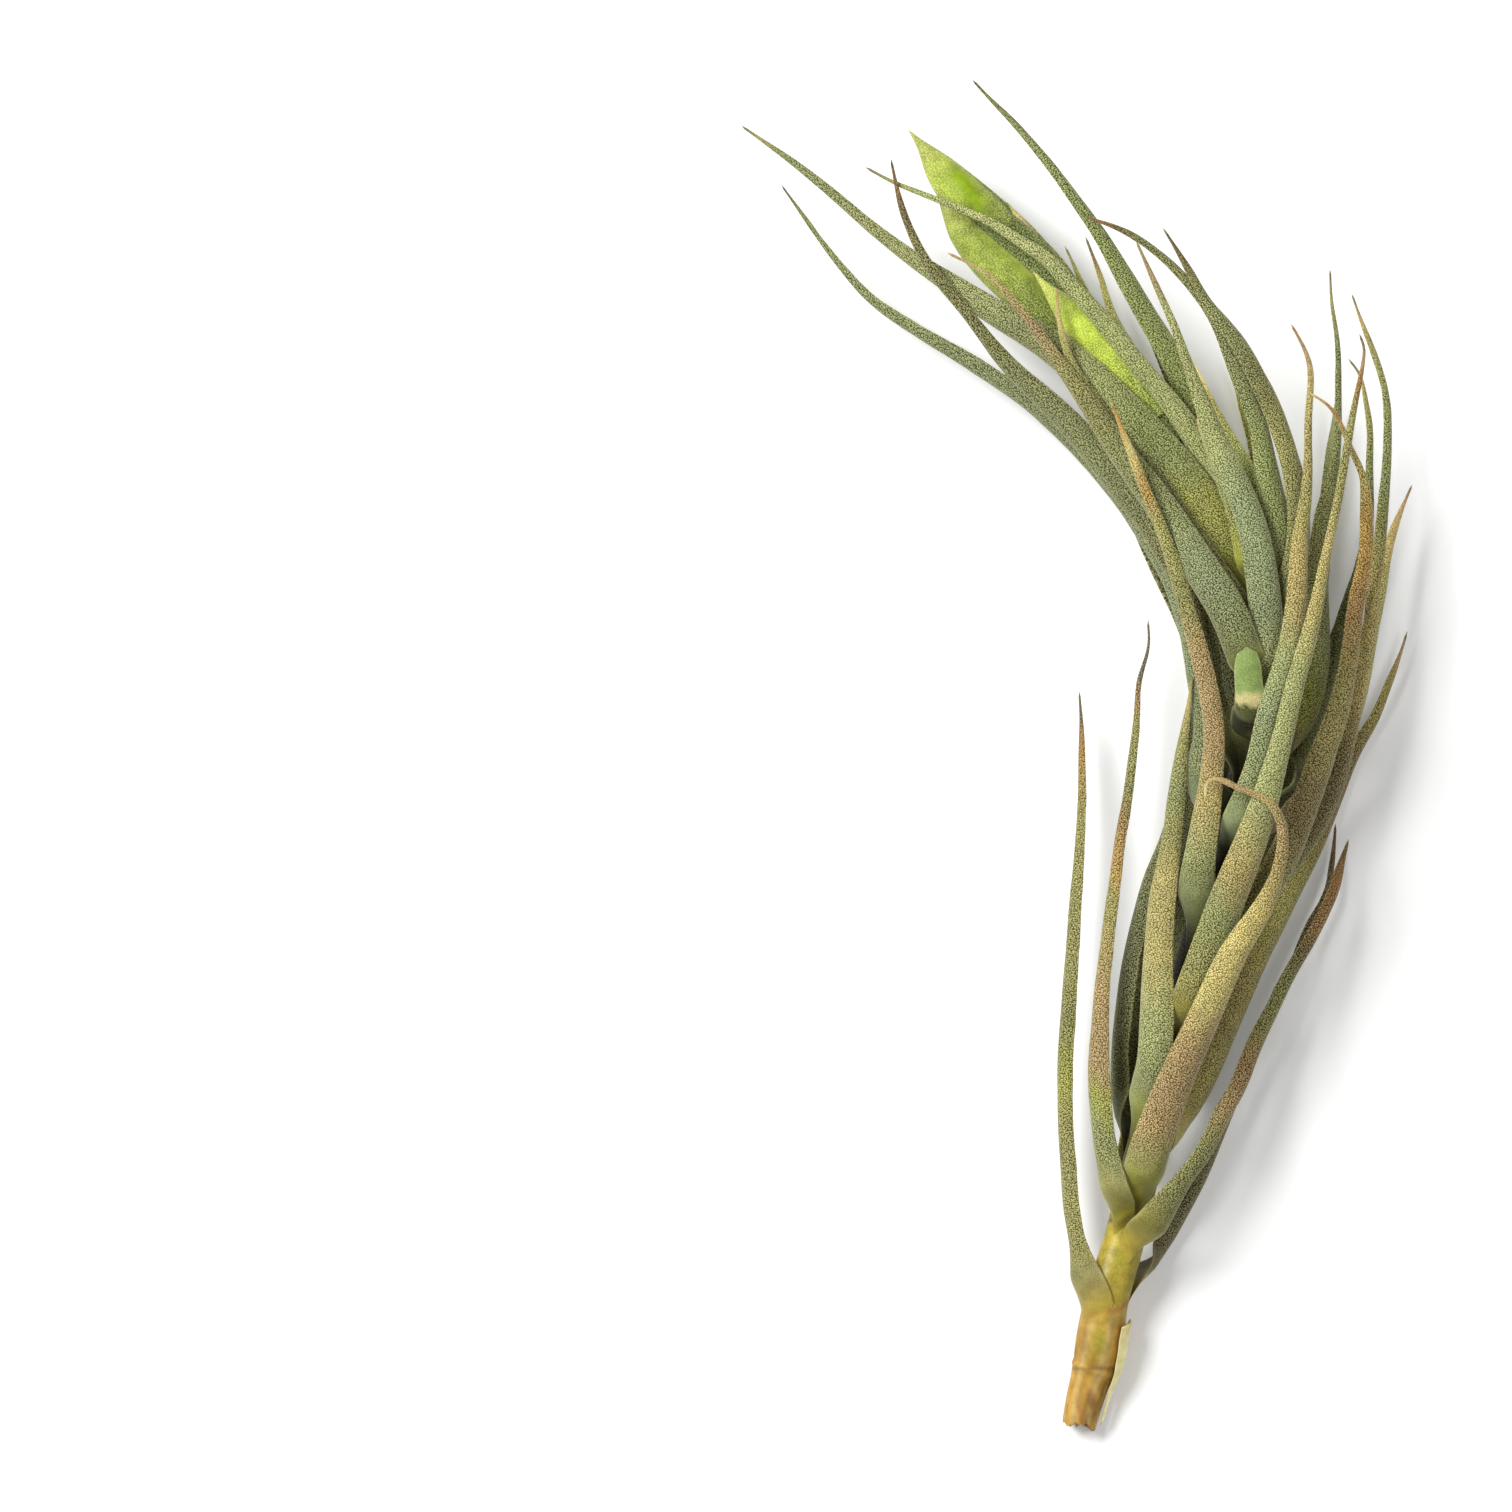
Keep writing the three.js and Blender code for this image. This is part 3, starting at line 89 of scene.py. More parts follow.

# Each leaf, its material slot, how light it is, partly its own tone and partly painted light that lifts
# leaves in shade and dims those in the key light, and its tones by the distance from its point, where 3..7
# straw is straw from 3 to 7 millimetres
LEAVES = """
top_long sage 0.95: 0 soot, 4 olive, 14 sage, 24..52 green, 79 deep_green
beside_speckled sage 2.8: 0 khaki, 3..7 straw, 11 khaki, 20 mist, 37 sage
over_spike sage 1.38: 0 soot, 4 olive, 10 sage, 22 mist, 44 sage, 80 mist
central_broad sage 0.85: 0 soot, 3 khaki, 10 sage, 40 mist, 52 sage, 62 mist, 76..84 green, 91..102 citron
broken_tip sage 1.25: 0 tan, 3 mist, 12 sage, 20 citron
rust_arched tan 0.85: 0 rust, 5 umber, 9 olive, 30 sage, 50 green, 73 sage
brown_tip tan 0.9: 0 soot, 4 umber, 9 olive, 17 sage, 26 olive, 38 khaki, 50 olive, 66 sage
thin_tan tan 1.3: 0 rust, 3 tan, 9 khaki, 16 olive, 26..40 deep_moss, 60 moss
lower_left_long sage 0.85: 0 soot, 5 olive, 10 sage, 60..100 teal, 122 sage
brown_curved tan 0.64: 0 soot, 4 rust, 8 umber, 14..30 olive, 42..60 sage, 78 olive, 98 khaki, 107 moss
speckled sage 1.1: 0 khaki, 4 rose, 12..32 mist, 42..60 teal, 72 khaki
brown_front tan 0.95: 0 rust, 4 straw, 10 tan, 18 rose, 26 khaki, 34 olive, 48 sage, 64 teal, 76 moss,
  82 citron
young_stub young 0.8: 0..6.4 mint, 7.2..8.2 cream, 8.6 deep_moss, 10.5 moss, 13 shade
tan_tip tan 1.12: 0 rust, 4 rose, 10 straw, 20 tan, 28 khaki, 34..44 tan, 50 mist, 60 teal, 80 sage
right_tall tan 1.25: 0 soot, 5 tan, 10 khaki, 20..30 sage, 36 olive, 46..60 tan, 72 umber, 85 bronze,
  100 moss
rust_hooked tan 1.4: 0 tan, 5 rust, 9..16 tan, 22..28 orange, 36 rust, 46..57 dry, 68 umber, 92 olive
left_orange tan 1.2: 0 rust, 4 orange, 8 straw, 14 orange, 20 khaki, 32 olive, 40..54 rose, 62 tan, 72 sage,
  83 moss
front_pale sage 1.1: 0 soot, 4 rose, 8 rust, 13..24 khaki, 31..44 straw, 52..74 mist, 84 tan, 92 sage,
  99 olive, 112 collar
front_light sage 1: 0 tan, 5 straw, 10 khaki, 17 sage, 25 khaki, 32..42 straw, 52 mist, 62 sage, 70 citron
front_withered tan 1.2: 0 cream, 3 tan, 7 rose, 12 tan, 17 rose, 25 tan, 36..46 straw, 54..66 rose, 72 khaki,
  78 citron
left_free_short tan 1: 0..9 soot, 13 rust, 17 khaki, 26 olive, 31 rust, 38 orange, 43 khaki, 50 tan,
  58..69 rose, 73 citron, 79 sage, 87 khaki, 94 collar
right_free_front tan 1.05: 0 rose, 2 umber, 6..14 rust, 19 chestnut, 24..31 olive, 38 rust, 45 rose,
  52..62 olive, 70 collar
left_free_long tan 0.9: 0..4 soot, 6 rust, 12 orange, 20..40 khaki, 50 olive, 58 citron, 66..88 khaki, 94 tan
behind_spike_b dark 2.6: 0 soot, 4 umber, 9 khaki, 16 sage
behind_spike_a dark 6: 0 soot, 5 olive, 16 sage
right_upright dark 1.2: 0 soot, 5 khaki, 10..28 sage, 44 olive, 56 sage, 66 citron, 74 wine, 80 moss
right_thin dark 1.25: 0 soot, 4 tan, 9 khaki, 18 sage, 32 olive, 44..74 moss
right_orange tan 1.95: 0 soot, 3 rose, 6..10 tan, 16 khaki, 26 sage, 34 olive, 45..63 umber
left_dark dark 0.7: 0 khaki, 14 sage, 21 moss, 28..38 deep_moss, 50..67 moss
right_long dark 1.7: 0 soot, 3 rose, 8..16 dry, 21..28 umber, 36 dry, 45 khaki, 57..83 dry
right_free_back dark 0.85: 0..14 umber, 34..80 bronze
under_01 dark 1: 0 umber, 6 olive, 20 sage, 44 moss
under_02 dark 1: 0 soot, 6 olive, 20 sage, 60 teal
under_03 dark 6: 0 rust, 5..14 olive, 60 sage
under_04 dark 0.8: 0 umber, 8 olive, 20 sage, 60 moss
under_05 dark 2.8: 0 khaki, 2..10 mist, 20 olive, 40 deep_moss, 80 moss
under_06 dark 0.9: 0 umber, 8 olive, 30 sage, 66 moss
under_07 dark 1: 0 soot, 5 tan, 12 khaki, 40 olive, 84 moss
under_08 dark 0.9: 0 rust, 6 khaki, 20 sage, 50 citron
"""

# Leaves whose soft blades spread wider than their nodes
SPREAD = {"young_stub": 1.12, "under_04": 1.5}

# The groove's place across a bract, from -1 to 1, by the distance from the bract's point. Its vivid green is
# partly the bract's own colour and partly painted shade where one bract's edge lies over the next
OVER_BRACT = [(8, 0.3), (12, 0.2), (22, -0.75), (28, -0.5), (33, -0.1)]
ALONG_MARGIN = [(8, 1.1), (33, 0.9)]

# Each bract: the way its back looks, as an angle from straight up, its tone, its groove, and its course
# from its point down, as x, y and width. A spike's height is that of its core line at the tip and the foot.
FLOWER_SPIKE = {
    "node": "flower_spike",
    "height": (12, 14.1),
    "core": "-22.5 90 1.6, -19.3 86.3 3.6, -15 81.5 6, -10.5 77 7.6, -6 73.2 7.4, -2 69.3 5.6, 1 65.9 3.6",
    "bracts": [
        (180, "mist", None,
         "-23 91 0.7, -20 87.2 4.6, -16.2 82.6 7.4, -12 78.2 8.6, -7.5 73.8 8.2, -3 69.2 6"),
        (52, "peach", None, "-10.2 82.2 0.7, -8.7 79.8 2.6, -6.8 76.8 3.4, -4.7 73.4 4, -1.8 69.2 4"),
        (16, "lime", OVER_BRACT,
         "-25.1 93.3 0.7, -23.2 91 2.8, -21 88.2 4.8, -18.4 85.2 6.4, -15.2 82.4 6.4, -12 79.6 6, "
         "-8.6 76 5.6, -5.2 72.3 5, -1.8 68.6 4.4"),
        (-35, "lime", ALONG_MARGIN,
         "-21.2 84.2 0.7, -19.6 81.9 3.2, -17.4 78.8 5.4, -14.4 75.4 7, -10.9 72 7.6, -7.3 68.6 7, "
         "-4.2 65.6 6, -1.6 63 4.6"),
    ],
}
SIDE_SPIKE = {
    "node": "side_spike",
    "height": (20, 18.8),
    "core": "-4.6 69.8 1.4, -1.6 66.6 3.4, 2 62.9 4.8, 5.6 59 5.2, 9 54.8 4.6, 12.2 50.4 3.6, 14.8 47 2.8",
    "bracts": [
        (168, "sage", None, "-4.4 70 0.7, -1.2 66.6 4, 2.6 62.6 5.2, 6.2 58.4 5.2, 9.6 54 4.4"),
        (-62, "citron", None, "-3.4 66.8 0.7, -1.2 63.9 3, 2 60.4 4.2, 5.6 56.8 4.2, 9.2 52.8 3.6"),
        (14, "bright_lime", None,
         "-6.4 71.9 0.7, -4.4 69.5 2.5, -1.3 66.3 4.6, 2.2 62.6 6, 5.8 58.7 6.2, 9 54.6 5.4, 12 50.6 4.2"),
    ],
}

# Sections of the spikes: a bract's arch and its core's depth are shares of the width
BRACT_ARCH = 0.4
BRACT_HALF_ANGLE = math.radians(72)
BRACT_THICKNESS = 0.62
MARGIN_THINNING = 0.35
LEAST_INSET = 0.55
CORE_DEPTH = 0.33

# Share of its colour that a blade's hollow face keeps, as painted shade, and how pale a blade's margin is:
# partly its scales' own pale fringe, partly painted sheen
HOLLOW_PAINTED_SHADE = 0.5
PALE_MARGIN_AND_SHEEN = 0.3

# A blade: its fewest sections, the angle that crowds its columns at its margins, the lengths of its slow and
# quick waves and of the calm part at its point, and how far its pattern of scales is shifted from the last
FEWEST_SECTIONS = 12
MARGIN_BEND = 0.43 * math.pi
SLOW_WAVE = 19
QUICK_WAVE = 7
CALM_LENGTH = 12
PATTERN_SHIFT = 13.7

# The foot of a blade: its gap to the stem, how deep it runs out in the stem's surface, and in how many steps
SEAT_GAP = 0.03
SUNK = 0.06
FOOT_STEPS = 5

# A blade's bake map: where its strips, the faces at its point and those of its cut foot lie along the map,
# and the share of a strip that stays free on either side
STRIP_SPAN = (0.01, 0.96)
FAN_SPAN = (0.003, 0.009)
CAP_SPAN = (0.97, 0.99)
STRIP_GAP = 0.03

# The scales: their stretch along and across a blade, and the tints between them and on them
SCALE_STRETCH = (1.15, 0.87, 1)
PIT_TINT = (0.3, 0.3, 0.1, 1)
SCALE_TINT = (2.4, 2.28, 2.1, 1)
WHITE = (1, 1, 1, 1)

# The stem: points round it, sections kept one by one from its cut end on, the stride beyond them, and the
# rings of its cut face as shares of its radius
STEM_SIDES = 56
FINE_SECTIONS = 180
STRIDE = 6
CUT_SHARES = (1.0, 0.93, 0.8, 0.62, 0.42, 0.2)


class BladeSettings(bpy.types.PropertyGroup):
    """Form of the leaves and bracts"""

    ring_spacing: bpy.props.FloatProperty(
        name="Ring spacing", description="Distance between the sections of a blade",
        default=0.55 * MM, min=0.1 * MM, unit="LENGTH", subtype="DISTANCE")
    columns: bpy.props.IntProperty(
        name="Columns", description="Points across each face of a blade", default=13, min=5)
    margin: bpy.props.FloatProperty(
        name="Margin", description="Thickness of a blade's margin, as a share of its middle",
        default=0.3, min=0.1, max=1, subtype="FACTOR")
    point_reach: bpy.props.FloatProperty(
        name="Point reach", description="Length over which a blade narrows to its point",
        default=7 * MM, unit="LENGTH", subtype="DISTANCE")
    point_share: bpy.props.FloatProperty(
        name="Point share", description="Width left at the point, as a share of the frame's",
        default=0.58, min=0.05, max=1, subtype="FACTOR")
    hug_length: bpy.props.FloatProperty(
        name="Hug length", description="Length of the foot of a leaf that closes on the stem",
        default=6 * MM, unit="LENGTH", subtype="DISTANCE")
    foot_length: bpy.props.FloatProperty(
        name="Foot length", description="Length over which a leaf's foot runs out on the stem",
        default=2.4 * MM, unit="LENGTH", subtype="DISTANCE")
    ripple: bpy.props.FloatProperty(
        name="Ripple", description="Height of the slow waves along a blade",
        default=0.09 * MM, unit="LENGTH", subtype="DISTANCE")


class FrostSettings(bpy.types.PropertyGroup):
    """The silvery scales that cover the leaves"""

    colour: bpy.props.FloatVectorProperty(
        name="Colour", description="Colour of the scales", default=(0.8, 0.78, 0.43), size=3,
        min=0, max=1, subtype="COLOR")
    grain: bpy.props.FloatProperty(
        name="Grain", description="Distance between the scales",
        default=0.26 * MM, unit="LENGTH", subtype="DISTANCE")
    relief: bpy.props.FloatProperty(
        name="Relief", description="How far the scales stand up",
        default=0.09 * MM, unit="LENGTH", subtype="DISTANCE")


class StageSettings(bpy.types.PropertyGroup):
    """Floor, light and camera"""

    floor_colour: bpy.props.FloatVectorProperty(
        name="Floor", description="Colour of the floor", default=(0.9, 0.9, 0.9), size=3,
        min=0, max=1, subtype="COLOR")
    key_power: bpy.props.FloatProperty(
        name="Key light", description="Power of the large light on the upper left", default=15.6,
        unit="POWER")
    sky: bpy.props.FloatProperty(
        name="Sky", description="Strength of the even light from all round", default=0.23)
    fill_power: bpy.props.FloatProperty(
        name="Fill light", description="Power of the weaker light on the right", default=3.45, unit="POWER")
    glow: bpy.props.FloatProperty(
        name="Glow", description="Light that the overexposed floor adds of its own", default=0.14)
    lens: bpy.props.FloatProperty(
        name="Lens", description="Focal length, long enough to look straight down on all of the plant",
        default=1200, unit="CAMERA")


class PlantSettings(bpy.types.PropertyGroup):
    """All settings of the air plant"""

    blade: bpy.props.PointerProperty(type=BladeSettings)
    frost: bpy.props.PointerProperty(type=FrostSettings)
    stage: bpy.props.PointerProperty(type=StageSettings)


def rows_of(text):
    """The rows of a table that is written in one line, such as "1 2, 3 4"."""
    return [row.split() for row in text.split(", ")]


def linear(tone):
    """A named tone as linear red, green and blue."""
    code = TONES[tone]
    shown = np.array([int(code[i:i + 2], 16) for i in (0, 2, 4)]) / 255
    return np.where(shown <= 0.04045, shown / 12.92, ((shown + 0.055) / 1.055) ** 2.4)


def ease(x):
    """A smooth step from 0 to 1."""
    x = np.clip(x, 0, 1)
    return x * x * (3 - 2 * x)


def bump_at(value, middle, width):
    """A smooth hill of height 1."""
    return np.exp(-((value - middle) / width) ** 2)


def spline_weights(knots, places):
    """Weights that carry values at the knots to their natural cubic spline at the places."""
    count = len(knots)
    gaps = np.diff(knots)
    system = np.eye(count)
    turns = np.zeros((count, count))
    for i in range(1, count - 1):
        system[i, i - 1:i + 2] = gaps[i - 1], 2 * (gaps[i - 1] + gaps[i]), gaps[i]
        turns[i, i - 1:i + 2] = 6 / gaps[i - 1], -6 / gaps[i - 1] - 6 / gaps[i], 6 / gaps[i]
    bends = np.linalg.solve(system, turns)
    cell = np.clip(np.searchsorted(knots, places, side="right") - 1, 0, count - 2)
    width = gaps[cell]
    left = knots[cell + 1] - places
    right = places - knots[cell]
    rows = np.zeros((len(places), count))
    for reach, knot in ((left, cell), (right, cell + 1)):
        rows[np.arange(len(places)), knot] += reach / width
        rows += ((reach**3 / width - width * reach) / 6)[:, None] * bends[knot]
    return rows


def wander(rng, places, length):
    """A slow wave between about -1 and 1, with swings of roughly the given length."""
    turn = 2 * math.pi
    swings = [np.sin(turn * places / (length * share) + rng.uniform(0, turn)) for share in (0.6, 1.0, 1.7)]
    return sum(swings) / 2.2


def unit(vectors):
    """Vectors brought to length 1."""
    return vectors / np.maximum(np.linalg.norm(vectors, axis=-1, keepdims=True), 1e-12)


def lengths_along(points):
    """How far each point is from the first, along the line through all of them."""
    return np.append(0, np.cumsum(np.linalg.norm(np.diff(points, axis=0), axis=1)))


def welded(node):
    """A CAD node's mesh, with the corners of its facets joined."""
    bm = bmesh.new()
    bm.from_mesh(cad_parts[node].data)
    bmesh.ops.remove_doubles(bm, verts=bm.verts, dist=WELD)
    return bm


def layers_from(start):
    """Vertices in layers, each one edge further from the start than the last."""
    seen = set(start)
    layer = list(start)
    layers = []
    while layer:
        layers.append(layer)
        nearby = dict.fromkeys(e.other_vert(v) for v in layer for e in v.link_edges)
        layer = [v for v in nearby if v not in seen]
        seen.update(layer)
    return layers


def loop_of(ring, before):
    """The ring's vertices in order round it. Its sides are the edges of faces that reach the ring before."""
    members, beyond = set(ring), set(before)
    loop = [ring[0]]
    while len(loop) < len(ring):
        sides = (e for e in loop[-1].link_edges if any(v in beyond for f in e.link_faces for v in f.verts))
        ahead = [v for v in (e.other_vert(loop[-1]) for e in sides) if v in members and v not in loop]
        if not ahead:
            raise RuntimeError("a ring of the node isn't closed")
        loop.append(ahead[0])
    return loop


def place_of(v):
    """A vertex's place in millimetres."""
    return np.array(v.co) / MM


def root_order(loop, inward):
    """The root ring in the order of a section: its back from edge to edge, then its hollow face."""
    at = np.array([place_of(v) for v in loop])
    sides = np.linalg.norm(np.roll(at, -1, axis=0) - at, axis=1)
    first = int(np.argmin(sides[:HALF_RING] + sides[HALF_RING:])) + 1
    runs = [[(first + start + i) % RING_POINTS for i in range(HALF_RING)] for start in (0, HALF_RING)]
    runs.sort(key=lambda run: -lengths_along(at[run])[-1])
    back, hollow = runs
    outward = at[back].mean(0) - at[hollow].mean(0)
    across = at[back[-1]] - at[back[0]]
    if np.dot(across, np.cross(inward, outward)) < 0:
        back, hollow = back[::-1], hollow[::-1]
    return [loop[i] for i in back + hollow]


def node_rings(node):
    """A blade's point, and its sections from there to its root, in millimetres."""
    bm = welded(node)
    tips = [v for v in bm.verts if len(v.link_edges) == RING_POINTS]
    if len(tips) != 1:
        raise RuntimeError(f"{node} has {len(tips)} points, not one")
    layers = layers_from(tips)[1:]
    if any(len(layer) != RING_POINTS for layer in layers):
        raise RuntimeError(f"{node} isn't a loft of {RING_POINTS}-point sections")
    centres = [np.mean([place_of(v) for v in layer], axis=0) for layer in layers[-2:]]
    rings = [root_order(loop_of(layers[-1], layers[-2]), centres[0] - centres[1])]
    for layer in reversed(layers[:-1]):
        index = {v: i for i, v in enumerate(rings[-1])}
        ring = [None] * RING_POINTS
        for v in layer:
            met = sorted(index[w] for w in (e.other_vert(v) for e in v.link_edges) if w in index)
            ring[met[0] if len(met) % 2 or met[0] < HALF_RING else met[1]] = v
        rings.append(ring)
    tip = place_of(tips[0])
    places = np.array([[place_of(v) for v in ring] for ring in reversed(rings)])
    bm.free()
    return tip, places


def stem_axis():
    """The stem node's axis and radius at close steps from its cut end on, in millimetres."""
    bm = welded("stem")
    # The hubs of the two ends have more than 10 edges each, and the cut end's is the lower one in y
    hub = max(bm.verts, key=lambda v: (len(v.link_edges) > 10, -v.co.y))
    around = (e.other_vert(hub) for e in hub.link_edges)
    end = [hub, *(v for v in around if len(v.link_edges) < 6)]
    layers = [np.array([place_of(v) for v in layer]) for layer in layers_from(end)]
    bm.free()
    centres = np.array([layer.mean(0) for layer in layers])
    radii = np.array([np.linalg.norm(p - c, axis=1).mean() for p, c in zip(layers, centres)])
    knots = lengths_along(centres)
    weights = spline_weights(knots, np.arange(0, knots[-1], 0.25))
    return weights @ centres, weights @ radii


def add_object(name, data):
    """A new object in the scene."""
    made = bpy.data.objects.new(name, data)
    bpy.context.scene.collection.objects.link(made)
    return made


class Skin:
    """Points, faces and their attributes, gathered until they become one object."""

    def __init__(self):
        self.faces = []
        self.parts = []

    def add(self, points, faces, corners, tones, covers, places):
        """Takes in a part: its faces count its own points, and corners are their places on the bake map."""
        start = sum(len(part[0]) for part in self.parts)
        self.faces += [tuple(i + start for i in face) for face in faces]
        self.parts.append((points, corners, tones, covers, places))

    def make(self, name, material):
        """One smooth-shaded object in metres, with its tone, its cover of scales and its bake map."""
        points, corners, tones, covers, places = (np.concatenate(column) for column in zip(*self.parts))
        mesh = bpy.data.meshes.new(name)
        points = points * MM
        points[:, 2] = np.maximum(points[:, 2], 0)
        mesh.from_pydata(points.tolist(), [], self.faces)
        one_more = ((0, 0), (0, 1))
        channels = (
            ("tone", "FLOAT_COLOR", "color", np.pad(tones, one_more, constant_values=1)),
            ("cover", "FLOAT", "value", covers),
            ("place", "FLOAT_VECTOR", "vector", np.pad(places, one_more)),
        )
        for key, kind, field, values in channels:
            attribute = mesh.attributes.new(key, kind, "POINT")
            attribute.data.foreach_set(field, values.astype(np.float32).ravel())
        layer = mesh.uv_layers.new(name=BAKE_MAP)
        layer.data.foreach_set("uv", corners.astype(np.float32).ravel())
        mesh.polygons.foreach_set("use_smooth", [True] * len(mesh.polygons))
        mesh.materials.append(material)
        mesh.update()
        return add_object(name, mesh)


def corner_rows(*sets):
    """Map corners of like faces, from their first corners, their second corners and so on."""
    return np.stack([np.stack(np.broadcast_arrays(u, v), -1) for u, v in sets], -2).reshape(-1, 2)


def in_tile(corners, tile):
    """Map corners fitted into a tile, given by its low and its high corner."""
    low, high = np.array(tile[:2]), np.array(tile[2:])
    return corners * (high - low) + low


def strip_corners(rings, columns, girth, length):
    """Map corners of a closed loft: its length is cut into strips that lie side by side."""
    strips = max(1, round(math.sqrt(length / girth)))
    k = np.arange(rings - 1)
    strip = np.minimum(k * strips // (rings - 1), strips - 1)
    first = np.searchsorted(strip, np.arange(strips))
    last = np.append(first[1:], rings - 1)
    start, end = STRIP_SPAN
    u, next_u = (
        start + (end - start) * ((k + step - first[strip]) / (last - first)[strip])[:, None]
        for step in (0, 1))
    v, next_v = (
        (strip[:, None] + STRIP_GAP + (1 - 2 * STRIP_GAP) * (np.arange(columns) + step) / columns) / strips
        for step in (0, 1))
    return corner_rows((u, v), (next_u, v), (next_u, next_v), (u, next_v))


def closed_faces(rings, columns):
    """Faces between the closed rings of a loft."""
    cells = ((k * columns, i, (i + 1) % columns) for k in range(rings - 1) for i in range(columns))
    return [(k + i, k + i + columns, k + j + columns, k + j) for k, i, j in cells]


def blade_faces(count, columns, girth, length):
    """Faces of a blade between its sections, at its point and across its cut foot, and their map corners."""
    apex, last, half = count * columns, (count - 1) * columns, columns // 2
    faces = closed_faces(count, columns)
    faces += [(apex, i, (i + 1) % columns) for i in range(columns)]
    faces += [(last + i + 1, last + i, apex - 1 - i, apex - 2 - i) for i in range(half - 1)]
    share = np.arange(columns) / columns
    step = np.arange(half - 1) / half
    return faces, np.concatenate([
        strip_corners(count, columns, girth, length),
        corner_rows(*((FAN_SPAN[u], share + w / columns) for u, w in ((0, 0), (1, 0), (1, 1)))),
        corner_rows(*((CAP_SPAN[u], step + w / half) for u, w in ((0, 1), (0, 0), (1, 0), (1, 1))))])


def widened(rings, spread):
    """Sections spread sideways by a factor."""
    sideways = unit(rings[:, HALF_RING - 1] - rings[:, 0])[:, None]
    offsets = rings - rings.mean(1, keepdims=True)
    return rings + (spread - 1) * (offsets * sideways).sum(-1, keepdims=True) * sideways


def add_blade(skin, tip, rings, tones, cover, seed, tile=(0, 0, 1, 1), hug=None, fine=1.0, ripple=1.0,
              blunt=False):
    """Adds a fine closed blade through the given sections.

    tones(distance, across, is_back) and cover(along, from_root, across) give its colours and its scales."""
    s = bpy.context.scene.air_plant.blade
    rng = np.random.default_rng(seed)
    middles = rings.mean(1)
    knots = lengths_along(middles) + np.linalg.norm(middles[0] - tip)
    count = max(FEWEST_SECTIONS, math.ceil((knots[-1] - knots[0]) / (s.ring_spacing / MM * fine)) + 1)
    along = np.linspace(knots[0], knots[-1], count)
    dense = np.einsum("ab,bcd->acd", spline_weights(knots, along), rings)

    across = np.sin(np.linspace(-MARGIN_BEND, MARGIN_BEND, s.columns)) / math.sin(MARGIN_BEND)
    weights = spline_weights(np.linspace(-1, 1, HALF_RING), across)
    back, hollow = (
        np.einsum("ab,cbd->cad", weights, side)
        for side in (dense[:, :HALF_RING], dense[:, :HALF_RING - 1:-1]))
    thin = 1 - (1 - s.margin) * np.abs(across) ** 5
    hollow = back + (hollow - back) * thin[:, None]

    lift = wander(rng, along, SLOW_WAVE)[:, None] * (0.4 + across**2)
    lift = lift + 0.5 * wander(rng, along, QUICK_WAVE)[:, None] * across**3
    lift = s.ripple / MM * ripple * lift * ease(along / CALM_LENGTH)[:, None]
    outward = unit(dense[:, BACK_MIDDLE] - dense[:, HALF_RING + BACK_MIDDLE])[:, None]
    section = np.concatenate([back, hollow[:, ::-1]], axis=1)
    section = section + np.concatenate([lift, lift[:, ::-1]], axis=1)[..., None] * outward

    centre = section.mean(1, keepdims=True)
    least = 1.0 if blunt else s.point_share
    narrow = least + (1 - least) * ease((along - knots[0]) / (s.point_reach / MM))
    section = centre + (section - centre) * narrow[:, None, None]
    from_root = knots[-1] - along
    if hug is not None:
        section = hugged(section, from_root, hug, min(s.hug_length / MM, 0.2 * knots[-1]))
        section = np.concatenate([section, foot_rings(section[-1], hug, s.foot_length / MM)])
        beyond = s.foot_length / MM * np.arange(1, FOOT_STEPS + 1) / FOOT_STEPS
        along = np.append(along, knots[-1] + beyond)
        from_root = np.append(from_root, -beyond)
    count, columns = section.shape[:2]

    v = np.append(across, across[::-1])
    is_back = np.arange(columns) < s.columns
    swing = 1.4 * wander(rng, v * 5 + 7, 6)
    distance = np.maximum(along[:, None] + swing * ease(along / 25)[:, None], 0)
    colours = tones(distance, v[None], is_back[None])
    if hug is not None:
        # The foot takes the stem's colours, which among the leaves are painted shade
        foot = ease((6 - from_root) / 7)[:, None, None]
        colours = colours + (stem_tone(section) - colours) * foot
    covers = np.broadcast_to(cover(along[:, None], from_root[:, None], v[None]), distance.shape)
    flow = np.linalg.norm(np.diff(section[:, :s.columns], axis=1), axis=2)
    flow = np.cumsum(np.pad(flow, ((0, 0), (1, 0))), axis=1)
    flow = flow - flow[:, s.columns // 2, None]
    flow = np.concatenate([flow, flow[:, ::-1]], axis=1)
    places = np.stack([np.broadcast_to(along[:, None] + PATTERN_SHIFT * seed, flow.shape), flow], -1)

    girth = np.linalg.norm(np.diff(section, axis=1), axis=2).sum(1).mean()
    faces, corners = blade_faces(count, columns, girth, along[-1])
    skin.add(
        np.concatenate([section.reshape(-1, 3), tip[None]]), faces, in_tile(corners, tile),
        np.concatenate([colours.reshape(-1, 3), colours[:1, 0]]), np.append(covers.ravel(), covers[0, 0]),
        np.concatenate([places.reshape(-1, 2), places[:1, s.columns // 2]]))


def nearest_on(centres, points):
    """For each point, the number of the nearest place on the stem's axis."""
    apart = points[:, None] - centres
    return np.argmin(np.einsum("abc,abc->ab", apart, apart), axis=1)


def set_from_axis(points, axis, wanted):
    """Moves points straight to or from the stem's axis, to the distance that wanted(reach, radius) gives."""
    centres, radii = axis
    nearest = nearest_on(centres, points)
    away = points - centres[nearest]
    reach = np.linalg.norm(away, axis=1)
    return centres[nearest] + away * (wanted(reach, radii[nearest]) / reach)[:, None]


def hugged(section, from_root, axis, length):
    """Closes the foot of a leaf on the stem: it thins out and comes down on the stem's surface."""
    pull = 1 - ease(from_root / length)

    def wanted(reach, radius):
        seated = radius + SEAT_GAP + 0.25 * np.maximum(reach - radius - 0.3, 0)
        return reach + (seated - reach) * pull[k]

    for k in np.flatnonzero(pull > 0):
        section[k] = set_from_axis(section[k], axis, wanted)
    return section


